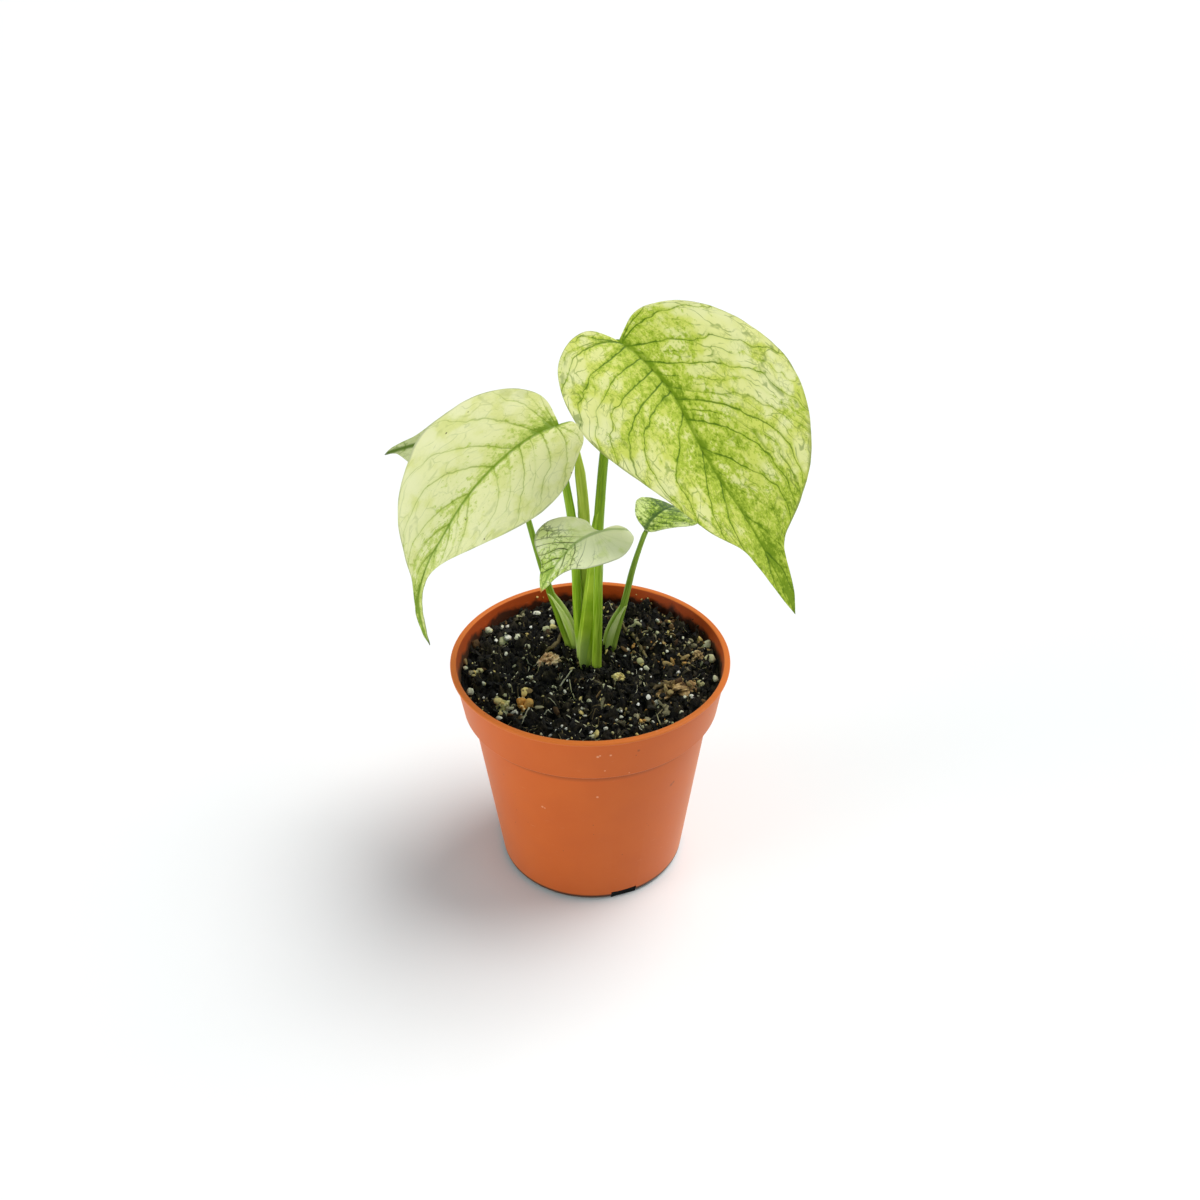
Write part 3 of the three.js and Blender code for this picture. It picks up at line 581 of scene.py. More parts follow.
def crumbly_height(x, y):
    """The mix's height with clods and crumbs: the size of a noise has sharp valleys where its sign changes,
    like the gaps between clods. Around each lump the clods are lower, so that the lump stays in sight."""
    at = np.stack([x, y], -1)
    reach = [np.hypot(x - spot[0], y - spot[1]) / (1.5 * half[0]) for _, _, spot, half, _, _ in LUMPS]
    calm = np.clip(np.min(reach, axis=0), 0.2, 1)
    clods = CLOD_HEIGHT * (np.abs(rough(at, 5.5, seed=3)) - 0.5) * calm
    crumbs = CRUMB_HEIGHT * (np.abs(rough(at, 2.0, seed=5)) - 0.5)
    return np.maximum(mix_height(x, y) + clods + crumbs, MIX_LEVEL - RELIEF - DEEPEST)


def raised_share(x, y):
    """How high a place stands above its surroundings, from 0 in a hollow to 1 on a clod."""
    return np.clip((crumbly_height(x, y) - mix_height(x, y)) / 4 + 0.5, 0, 1)


def lump_top(x, y):
    """The height of whatever lies on top at a place: the bed, or the dome of a lump."""
    height = crumbly_height(x, y)
    for _, _, spot, half, _, _ in LUMPS:
        off = ((x - spot[0]) / half[0]) ** 2 + ((y - spot[1]) / half[1]) ** 2
        dome = mix_height(*np.array(spot)) + half[2] * (0.3 + 0.8 * np.sqrt(np.maximum(1 - off, 0)))
        height = np.where(off < 1, np.maximum(height, dome), height)
    return height


slope = (BAND_TOP_RADIUS - BAND_FOOT_RADIUS) / (LIP_FOOT - BAND_FOOT)
mix_top_radius = BAND_FOOT_RADIUS - WALL - GAP + slope * (MIX_LEVEL - RELIEF - BAND_FOOT)
mix_side = [(0, FLOOR + GAP), (BASE_RADIUS - WALL - GAP + 0.2, FLOOR + GAP),
            (WALL_TOP_RADIUS - WALL - GAP, WALL_TOP), (BAND_FOOT_RADIUS - WALL - GAP, BAND_FOOT)]
top_rings = np.stack([np.linspace(mix_top_radius, 0, MIX_RINGS), np.full(MIX_RINGS, MIX_LEVEL)], -1)
mix_profile = np.vstack([mix_side, top_rings])
mix_points = turned(mix_profile, MIX_SECTORS)
top = mix_points[len(mix_side):]
top[..., 2] = crumbly_height(top[..., 0], top[..., 1])
top[-1] = top[-1].mean(axis=0)
# How raised each place is goes to the material, which paints the hollows darker, a painted shade.
raised = np.zeros_like(mix_points)
raised[len(mix_side):, :, 0] = raised_share(top[..., 0], top[..., 1])
mix_faces = grid_faces(len(mix_profile), MIX_SECTORS, wrap=True)
mix_piece = new_piece("mix_bed", mix_points, mix_faces, {"raised": raised})


# %% A low ball and many grains
def ball(splits):
    """A ball of triangles: an icosahedron whose faces are split in four and pushed out to radius 1."""
    golden = (1 + 5**0.5) / 2
    ends = [(-1, golden, 0), (1, golden, 0), (-1, -golden, 0), (1, -golden, 0)]
    points = np.array([np.roll(p, k) for k in range(3) for p in ends], float)
    distance = np.linalg.norm(points[:, None] - points[None], axis=-1)
    near = np.isclose(distance, 2)
    a, b, c = np.where(near[:, :, None] & near[:, None, :] & near[None, :, :])
    faces = np.stack([a, b, c], -1)[(a < b) & (b < c)]
    for _ in range(splits):
        pairs = np.sort(faces[:, [[0, 1], [1, 2], [2, 0]]].reshape(-1, 2), axis=1)
        edges, which = np.unique(pairs, axis=0, return_inverse=True)
        middle = which.reshape(-1, 3) + len(points)
        points = np.vstack([points, points[edges].mean(axis=1)])
        (a, b, c), (ab, bc, ca) = faces.T, middle.T
        faces = np.vstack([np.stack(t, -1) for t in ((a, ab, ca), (b, bc, ab), (c, ca, bc), (ab, bc, ca))])
    points = points / np.linalg.norm(points, axis=1)[:, None]
    flip = np.einsum("ij,ij->i", points[faces[:, 0]], np.cross(points[faces[:, 1]], points[faces[:, 2]])) < 0
    faces[flip] = faces[flip][:, ::-1]
    return points, faces


def turns(random, count):
    """Random turns as 3 x 3 matrices, from the QR split of random matrices."""
    return np.linalg.qr(random.normal(size=(count, 3, 3)))[0]


def many_grains(name, centres, sizes, shade, splits, seed, knobbly=0.15):
    """Copies of one ball as a single mesh. sizes holds each grain's three half lengths, and every grain
    takes its own bumps from another place in one noise. shade is kept for the material."""
    random = np.random.default_rng(seed)
    points, faces = ball(splits)
    count = len(centres)
    places = points[None] + random.uniform(-30, 30, (count, 1, 3))
    bumps = 1 + knobbly * rough(places, 0.9, seed, octaves=2)[..., None]
    shaped = points[None] * bumps * sizes[:, None]
    placed = np.einsum("nij,nkj->nki", turns(random, count), shaped) + centres[:, None]
    every = (faces[None] + (np.arange(count) * len(points))[:, None, None]).reshape(-1, 3)
    mark = np.zeros((count, len(points), 3))
    mark[..., 0] = shade[:, None]
    return new_piece(name, placed, every, {"grain": mark}, smooth=splits > 0)


# %% [markdown]
# Grains are scattered by seeded chance, so every run gives the same bed. They keep clear of the wall,
# and sink a little into the bed, as if watered in.

# %% Scatter crumbs, perlite and fertiliser grains
WALL_CLEARING = 1.6
STEMS = np.array([(-1.2, 4.5), (-4.3, 6.5), (-8.4, 15.7), (3.1, 1.6), (9.5, 15.8)])
BED_REACH = mix_top_radius - WALL_CLEARING


def scatter(count, seed, clearing):
    """Random places on the bed that stay clear of the stems, as (x, y)."""
    random = np.random.default_rng(seed)
    reach = BED_REACH * np.sqrt(random.uniform(size=4 * count))
    angle = random.uniform(0, 2 * np.pi, 4 * count)
    spots = np.stack([reach * np.cos(angle), reach * np.sin(angle)], -1)
    far = np.linalg.norm(spots[:, None] - STEMS[None], axis=-1).min(axis=1) > clearing
    return spots[far][:count]


def on_bed(spots, sizes, sink):
    """Centres for grains that lie on the bed, sunk by a share of their height."""
    height = crumbly_height(spots[:, 0], spots[:, 1]) + sizes.min(axis=1) * (1 - 2 * sink)
    return np.column_stack([spots, height])


CRUMB_COUNT = 3000
CRUMB_LEAST = 0.35
CRUMB_SPREAD = 1.25
CRUMB_SINK = 0.2
PERLITE_COUNT = 330
PERLITE_LEAST = 0.32
PERLITE_SPREAD = 0.62
PERLITE_SINK = 0.15
CRUMB_FORMS = np.array([(1, 1, 1), (2.0, 0.7, 0.5), (1.4, 1.1, 0.45), (0.8, 0.8, 1.2)])
random = np.random.default_rng(11)
crumb_spots = scatter(CRUMB_COUNT, 21, 1.5)
crumb_sizes = CRUMB_LEAST + CRUMB_SPREAD * random.uniform(size=(CRUMB_COUNT, 1)) ** 2.4
crumb_sizes = crumb_sizes * random.uniform(0.6, 1.3, (CRUMB_COUNT, 3))
crumb_sizes = crumb_sizes * CRUMB_FORMS[random.integers(len(CRUMB_FORMS), size=CRUMB_COUNT)]
# Crumbs in hollows get darker shades, a painted shade, and a broad noise makes some patches browner.
crumb_shades = random.uniform(size=CRUMB_COUNT) * np.clip(0.2 + 1.3 * raised_share(*crumb_spots.T), 0, 1)
crumb_shades *= np.clip(0.75 + 0.6 * rough(crumb_spots, 9.0, seed=14), 0.25, 1.25)
crumb_centres = on_bed(crumb_spots, crumb_sizes, CRUMB_SINK)
crumbs = many_grains("mix_crumbs", crumb_centres, crumb_sizes, crumb_shades, splits=0, seed=31, knobbly=0.4)

perlite_spots = scatter(PERLITE_COUNT, 22, 3)
perlite_sizes = PERLITE_LEAST + PERLITE_SPREAD * random.uniform(size=(PERLITE_COUNT, 1)) ** 2
perlite_sizes = perlite_sizes * random.uniform(0.75, 1.1, (PERLITE_COUNT, 3)) * (1, 1, 0.9)
perlite_sizes[:, 0] *= random.uniform(1, 1.8, PERLITE_COUNT)
perlite_centres = on_bed(perlite_spots, perlite_sizes, PERLITE_SINK)
perlite_shades = random.uniform(0.6, 1, PERLITE_COUNT)
perlite = many_grains("perlite_grains", perlite_centres, perlite_sizes, perlite_shades,
                      splits=1, seed=32, knobbly=0.2)

# %% [markdown]
# The larger grains are listed one by one, each with its distance right and back from the middle, its
# radius, and a shade on a scale from brown (0) over tan, orange (0.5) and yellow to grey-green and white (1).
# Around some of them lie heaps of smaller ones. A few specks stick to the pot's inner wall above the
# bed: each has its compass angle, its height, its radius and its shade.

# %% Larger grains and heaps
GRAINS = [
    (-38.9, 23.8, 2.1, 0.78), (-37.2, 23.6, 1.4, 0.95), (-49.4, 30.3, 1.4, 0.84), (-44.1, 38.9, 1.5, 0.86),
    (-50.4, -0.4, 1.9, 0.8), (-47.9, 0.4, 1.8, 0.72), (-24.7, 41.6, 1.3, 0.92), (-17.7, 36.1, 1.6, 0.85),
    (-20.1, 30, 1.4, 0.78), (-17.2, 30.8, 1.5, 0.68), (37.4, -1, 1.1, 0.96), (54.4, -7.9, 1.5, 0.82),
    (24.2, -24.1, 1.2, 0.98), (27.9, -22.7, 1, 0.94), (25.2, -31.4, 1.4, 0.7), (19.9, -27.1, 0.8, 0.99),
    (6.3, -14, 1.4, 0.8), (1.5, -21.1, 0.8, 0.98), (-0.4, -22.5, 1.2, 0.82), (-3.3, -27, 1, 0.92),
    (-15.9, -42.6, 1.2, 0.97), (-13.1, -41.8, 1.1, 0.99), (-0.9, -46.6, 1.1, 0.99), (2.5, -41.9, 1.6, 0.64),
    (52.5, 5.1, 2, 0.78), (22.2, 14.6, 1.6, 0.76), (29.9, 20.2, 1.3, 0.84), (30.6, 37, 1.1, 0.94),
    (26.3, 34.1, 1.1, 0.86), (20.8, 32, 1.4, 0.8), (48.8, 21.9, 1.3, 0.6), (51.2, 17.3, 2.1, 0.82),
    (-12.3, -2.2, 0.9, 0.95), (-9.4, 0.8, 0.9, 0.98), (-38.3, -24.3, 1.7, 0.66), (-35.5, -28.3, 1.7, 0.78),
    (-37.4, -32.9, 1.2, 0.9), (-32.8, -31.6, 1.6, 0.12), (-27.3, -20, 1.7, 0.62), (-28.7, -24.2, 1.7, 0.5),
    (-25.5, -24.8, 1.7, 0.54), (32.5, -13.2, 1.4, 0.3), (35.2, -14.6, 1.4, 0.26), (33.6, -18.8, 1.4, 0.34),
    (47.3, -8.4, 1.9, 0.74), (41.8, -14.5, 1.3, 0.3), (43.2, -19.4, 1, 0.8), (39, -10.3, 1.3, 0.36),
    (29.3, -21.6, 1, 0.84), (35.9, -22.9, 1, 0.3), (12.8, -32.5, 1, 0.9), (16.5, -33.1, 1.2, 0.8),
    (20.1, -36.3, 0.8, 0.8), (32.4, -34.9, 1, 0.92), (37.5, -31.6, 0.9, 0.84), (42.5, -23.5, 0.8, 0.94),
    (-57, 0.3, 0.8, 0.84), (-50.7, -15.4, 1.3, 0.86), (-25.6, -3.1, 1.1, 0.84), (-29.4, -5.3, 1.1, 0.8),
    (-28.1, 17.6, 1.3, 0.82), (-32.7, 20.3, 1.3, 0.86), (-47.2, 17.8, 0.9, 0.96), (-42.6, 21.4, 0.9, 0.98),
    (-38, 33, 0.9, 0.97), (-35.4, 28.6, 0.9, 0.94), (33.1, 0.1, 1.3, 0.36), (35.9, 4.2, 1.3, 0.4),
    (38.2, 5.7, 1.1, 0.34), (40.7, 3.5, 1.3, 0.42), (42.7, 1.3, 1.1, 0.38), (21.9, 4, 1.5, 0.74),
    (24.4, -0.4, 1.1, 0.84), (22.2, -3.3, 1.1, 0.8),
]
HEAPS = [
    {"at": (37, -13), "spread": (7, 4), "count": 60, "shades": (0.02, 0.42)},
    {"at": (38.5, 3), "spread": (5, 2.2), "count": 30, "shades": (0.15, 0.5)},
    {"at": (-35.5, -25), "spread": (3.5, 4), "count": 14, "shades": (0.58, 0.82)},
    {"at": (-27.2, -23), "spread": (1.8, 2), "count": 6, "shades": (0.46, 0.58)},
    {"at": (17, -34), "spread": (10, 4), "count": 50, "shades": (0.1, 0.95)},
    {"at": (47, 14), "spread": (4, 3), "count": 16, "shades": (0.1, 0.45)},
    {"at": (21, 16), "spread": (3, 8), "count": 26, "shades": (0.1, 0.9)},
    {"at": (-21, 6), "spread": (8, 5), "count": 26, "shades": (0.02, 0.35)},
    {"at": (33, 33), "spread": (8, 5), "count": 36, "shades": (0.02, 0.3)},
    {"at": (2, 0), "spread": (30, 28), "count": 90, "shades": (0.0, 0.34), "radius": 1.6},
    {"at": (24, 24), "spread": (16, 14), "count": 50, "shades": (0.05, 0.4), "radius": 1.4},
]
WALL_SPECKS = [
    (62, 101, 0.55, 0.66), (65, 99.8, 0.4, 0.6), (60, 99, 0.45, 0.64), (68, 101.6, 0.3, 0.6),
    (63, 98, 0.7, 0.7), (116, 101.6, 0.5, 0.6), (113, 100.6, 0.35, 0.5), (31, 99.6, 0.7, 0.0),
    (26, 98.6, 0.8, 0.0), (35, 101, 0.4, 0.04), (150, 98.6, 0.4, 0.02), (160, 98, 0.5, 0.04),
    (100, 98.4, 0.5, 0.04), (74, 98.2, 0.5, 0.02),
]
GRAIN_REST = 0.45
SPECK_REST = 0.6
HEAP_RADIUS = 0.65
BARK_SHADE = 0.42
BARK_FORM = (1.35, 0.85, 0.5)
random = np.random.default_rng(12)
grain_table = np.array(GRAINS)
spots, radii, shades = [grain_table[:, :2]], [grain_table[:, 2]], [grain_table[:, 3]]
for heap in HEAPS:
    spots.append(heap["at"] + random.normal(size=(heap["count"], 2)) * heap["spread"])
    radii.append(0.3 + heap.get("radius", HEAP_RADIUS) * random.uniform(size=heap["count"]) ** 1.6)
    shades.append(random.uniform(*heap["shades"], heap["count"]))
spots, radii, shades = np.vstack(spots), np.concatenate(radii), np.concatenate(shades)
held = np.minimum(1, BED_REACH / np.hypot(spots[:, 0], spots[:, 1]))[:, None]
spots = spots * held
centres = np.column_stack([spots, lump_top(spots[:, 0], spots[:, 1]) + GRAIN_REST * radii])
degrees, height, speck_radii, speck_shades = np.array(WALL_SPECKS).T
angle = np.radians(degrees)
wall_radius = BAND_FOOT_RADIUS - WALL + slope * (height - BAND_FOOT) - SPECK_REST * speck_radii
on_wall = np.stack([wall_radius * np.cos(angle), wall_radius * np.sin(angle), height], -1)
radii, shades = np.concatenate([radii, speck_radii]), np.concatenate([shades, speck_shades])
grain_sizes = radii[:, None] * random.uniform(0.62, 1.25, (len(radii), 3))
grain_sizes[shades < BARK_SHADE] *= BARK_FORM
grains = many_grains("larger_grains", np.vstack([centres, on_wall]), grain_sizes, shades,
                     splits=2, seed=33, knobbly=0.2)

# %% [markdown]
# Rootlets and shreds lie across the bed. The long ones follow traced points, and the short hairs are
# scattered: each is a line that bends evenly. All of them rest on the bed, smoothed over a few points.

# %% Rootlets and shreds
# each rootlet: the points it passes, its radius and its shade
ROOTLETS = [
    ([(-6.2, -0.9), (-11.7, -8.7), (-17.2, -16.5)], 0.38, 0.86),
    ([(-9.1, -8.7), (-7.4, -16.2), (-4.6, -22.6), (-0.4, -26.6)], 0.28, 0.74),
    ([(-28, -35.3), (-25, -30.8), (-20.1, -29.5), (-15.7, -27.9)], 0.4, 0.84),
    ([(-16.8, -19.9), (-17.9, -24.1), (-14.1, -25.4)], 0.22, 0.8),
    ([(-9.8, -31.2), (-6.4, -33.3), (-2.3, -35.9), (-0.6, -39.1)], 0.36, 0.84),
    ([(20.4, -1.6), (22.4, -7.6), (24.4, -13.3)], 0.3, 0.8),
    ([(26.4, -26.1), (29.7, -38.7)], 0.26, 0.66),
    ([(-6.2, -45.5), (-3.5, -38.5)], 0.22, 0.84),
    ([(-12.8, -0.7), (-13.1, -5.6), (-11.3, -6.5)], 0.34, 0.84),
    ([(-13.1, 23.6), (-16.1, 18.9), (-19.8, 12.7)], 1.15, 0.34),
    ([(13.9, 30.3), (18.7, 26.4), (22.2, 16), (25, 9.6)], 0.95, 0.4),
    ([(14, 31.5), (20, 30.5), (25, 31.6)], 0.8, 0.72),
    ([(43.8, 4.3), (48, 2.8), (52, 5.1)], 0.6, 0.74),
    ([(25.7, -14.7), (30.1, -10.4), (35.7, -9.6)], 1.0, 0.24),
    ([(15.6, 11.6), (18.2, 15.4)], 0.7, 0.94),
    ([(-58, 5), (-56.5, -2)], 0.25, 0.3),
    ([(44, 12), (50, 14)], 0.6, 0.3),
]
HAIR_COUNT = 260
HAIR_STEPS = 9


def laid(line, radius):
    """A line of (x, y) points laid on the bed."""
    height = lump_top(line[:, 0], line[:, 1])
    padded = np.pad(height, 2, mode="edge")
    smooth_height = np.maximum(np.convolve(padded, np.full(5, 0.2), mode="valid"), height - 0.5)
    return np.column_stack([line, smooth_height + 0.6 * radius])


random = np.random.default_rng(13)
lines = [laid(smooth_line(points, 8), radius) for points, radius, _ in ROOTLETS]
starts = scatter(HAIR_COUNT, 23, 4) * 0.94
heading = random.uniform(0, 2 * np.pi, (HAIR_COUNT, 1)) + np.cumsum(
    random.normal(0, 0.08, (HAIR_COUNT, 1)) + random.normal(0, 0.14, (HAIR_COUNT, HAIR_STEPS)), axis=1)
pace = random.uniform(0.35, 1.1, (HAIR_COUNT, 1))
hair_points = starts[:, None] + np.stack([np.cumsum(pace * np.cos(heading), axis=1),
                                          np.cumsum(pace * np.sin(heading), axis=1)], -1)
hair_points *= np.minimum(1, BED_REACH / np.linalg.norm(hair_points, axis=-1, keepdims=True))
hair_radii = random.uniform(0.08, 0.24, HAIR_COUNT)
lines += [laid(line, radius) for line, radius in zip(hair_points, hair_radii)]
radii = [radius for _, radius, _ in ROOTLETS] + hair_radii.tolist()
shades = [shade for _, _, shade in ROOTLETS] + (0.95 * random.uniform(size=HAIR_COUNT) ** 1.7).tolist()
rootlets = many_tubes("rootlets_and_shreds", lines, radii, shades)

# %% [markdown]
# Damp peat is almost black and swallows light. A few crumbs are rotted bark and look brown, and some
# carry a film of green algae. Perlite is popped volcanic glass: chalky white, rough and a bit dusty.

# %% Materials of the mix
PEAT_CLUMP = 4 * MM
PEAT_CRUMB = 0.9 * MM
peat, tree = new_material("damp_peat_and_bark")
place = add(tree, "TexCoord").outputs["Object"]
clump = add(tree, "TexNoise", {"Vector": place, "Scale": 1 / PEAT_CLUMP, "Detail": 6.0, "Roughness": 0.65})
peat_tones = add(tree, "ValToRGB", [clump])
for element, (stop, tone) in zip(peat_tones.color_ramp.elements, [(0.42, "#050504"), (0.72, "#3B3522")]):
    element.position = stop
    element.color = linear(tone)
# Hollows are painted near black, a painted shade, and raised clods show the peat tones.
raised_map = add(tree, "Attribute", attribute_name="raised").outputs["Vector"]
raised_by = add(tree, "SeparateXYZ", [raised_map])
lit = add(tree, "MapRange", [raised_by, 0.36, 0.62])
peat_colour = add(tree, "Mix", {0: lit, 6: linear("#030303"), 7: peat_tones}, **RGBA)
crumb_bump = add(tree, "TexNoise", {"Vector": place, "Scale": 1 / PEAT_CRUMB, "Detail": 5.0})
bump = add(tree, "Bump", {"Height": crumb_bump, "Strength": 0.9, "Distance": 0.6 * MM})
shader = add(tree, "BsdfPrincipled", {"Base Color": peat_colour, "Roughness": 0.8,
                                      "Specular IOR Level": 0.25, "Normal": bump})
add(tree, "OutputMaterial", {"Surface": shader})


def grain_material(name, tones, roughness, mottle, clump_size):
    """A material whose colour follows each grain's own shade along a row of tones, with mottling."""
    material, tree = new_material(name)
    place = add(tree, "TexCoord").outputs["Object"]
    grain_map = add(tree, "Attribute", attribute_name="grain").outputs["Vector"]
    shade = add(tree, "SeparateXYZ", [grain_map])
    noise = add(tree, "TexNoise", {"Vector": place, "Scale": 1 / (clump_size * MM), "Detail": 4.0})
    spread = add(tree, "MapRange", [noise, 0.0, 1.0, -mottle, mottle])
    mixed = add(tree, "Math", [shade, spread], **PLUS)
    ramp = add(tree, "ValToRGB", [mixed])
    while len(ramp.color_ramp.elements) < len(tones):
        ramp.color_ramp.elements.new(0.5)
    for element, (stop, tone) in zip(ramp.color_ramp.elements, tones):
        element.position = stop
        element.color = linear(tone)
    bump = add(tree, "Bump", {"Height": noise, "Strength": 0.7, "Distance": 0.3 * MM})
    shader = add(tree, "BsdfPrincipled", {"Base Color": ramp, "Roughness": roughness,
                                          "Specular IOR Level": 0.3, "Normal": bump})
    add(tree, "OutputMaterial", {"Surface": shader})
    return material


GRAIN_SCALE = [(0.0, "#33200E"), (0.2, "#6B5230"), (0.36, "#9C8A5A"), (0.5, "#D2913C"),
               (0.62, "#DCC87C"), (0.76, "#B0B284"), (0.88, "#D6D8BF"), (1.0, "#F3F3EC")]
CRUMB_SCALE = [(0.0, "#020201"), (0.4, "#0B0A06"), (0.66, "#342F1E"), (0.84, "#68624A"), (1.0, "#A09A78")]
ROOT_SCALE = [(0.0, "#1C180D"), (0.3, "#5E5130"), (0.5, "#8C8258"), (0.75, "#B4B48A"), (1.0, "#E2E2D0")]
crumb_material = grain_material("peat_crumbs", CRUMB_SCALE, 0.75, 0.14, 0.8)
perlite_material = grain_material("chalky_perlite", GRAIN_SCALE, 0.75, 0.1, 0.7)
larger_material = grain_material("fertiliser_grains_and_bark_crumbs", GRAIN_SCALE, 0.75, 0.07, 0.9)
root_material = grain_material("dry_rootlets_and_bark_shreds", ROOT_SCALE, 0.7, 0.12, 0.9)
settle(mix_piece, peat, "potting_mix", "potting_mix")
# The slot plugs carry no raised values, so the peat shader paints them near black, a painted shade.
settle(shade_plug_piece, peat, "potting_mix")
settle(crumbs, crumb_material, "potting_mix")
settle(perlite, perlite_material, "potting_mix")
settle(grains, larger_material, "potting_mix")
settle(rootlets, root_material, "potting_mix")

# %% [markdown]
# ## Bark and clay lumps
#
# Six larger lumps lie on the bed: knobbly bark and crumbly expanded clay. Each is a fine ball whose
# surface is pushed in and out by noise in three grain sizes, which makes the cracks and knobs.

# %% Lumps
LUMP_TONES = {
    "bark_lump_left": [(0.0, "#5A3E26"), (0.35, "#BE9466"), (0.65, "#E6CA9E"), (1.0, "#FCECCC")],
    "bark_chunk_right": [(0.0, "#1A1208"), (0.4, "#4A361C"), (0.75, "#84683C"), (1.0, "#B79C6C")],
    "bark_chip_right": [(0.0, "#3A2C1A"), (0.4, "#6E5936"), (0.75, "#A08A5E"), (1.0, "#CDB98C")],
    "clay_grain_middle": [(0.0, "#6E6024"), (0.35, "#BCAA5C"), (0.65, "#E2D68E"), (1.0, "#F4EDC8")],
    "clay_grain_left": [(0.0, "#6E6A34"), (0.4, "#A39F5C"), (0.75, "#C9C48A"), (1.0, "#E4DFB4")],
    "clay_grain_orange": [(0.0, "#9A5814"), (0.4, "#DC9430"), (0.75, "#F2B85A"), (1.0, "#FBE0A4")],
}
KNOB = 0.55
CRACK = 0.16
ball_points, ball_faces = ball(5)
for number, (name, slot, spot, half_size, turn, knobs) in enumerate(LUMPS):
    bumps = rough(ball_points, KNOB, seed=60 + number) * knobs
    bumps += rough(ball_points, CRACK, seed=80 + number) * 0.05
    shape = ball_points * (0.86 + bumps[:, None]) * np.array(half_size)
    height = mix_height(*np.array(spot)) + 0.3 * half_size[2]
    points = turned_about(shape, turn) + (*spot, height)
    mark = np.zeros_like(points)
    mark[:, 0] = np.clip(0.5 + 1.6 * bumps, 0, 1)
    lump = new_piece(name + "_skin", points, ball_faces, {"grain": mark})
    rough_skin = grain_material(name + "_skin", LUMP_TONES[name], 0.8, 0.3, 1.1)
    settle(lump, rough_skin, slot, name)

# %% [markdown]
# ## Leaves
#
# A blade is described flat, as if pressed in a book: distances along the midrib and across it. The
# midrib then bends down in an even arc, the two halves lift from it like an open book and droop
# again towards the edge. The side veins are traced first, and the rows of the surface follow them,
# so that colour and relief can follow the veins too. A vein is its foot on the midrib, two points on
# its way, and its end on the edge.

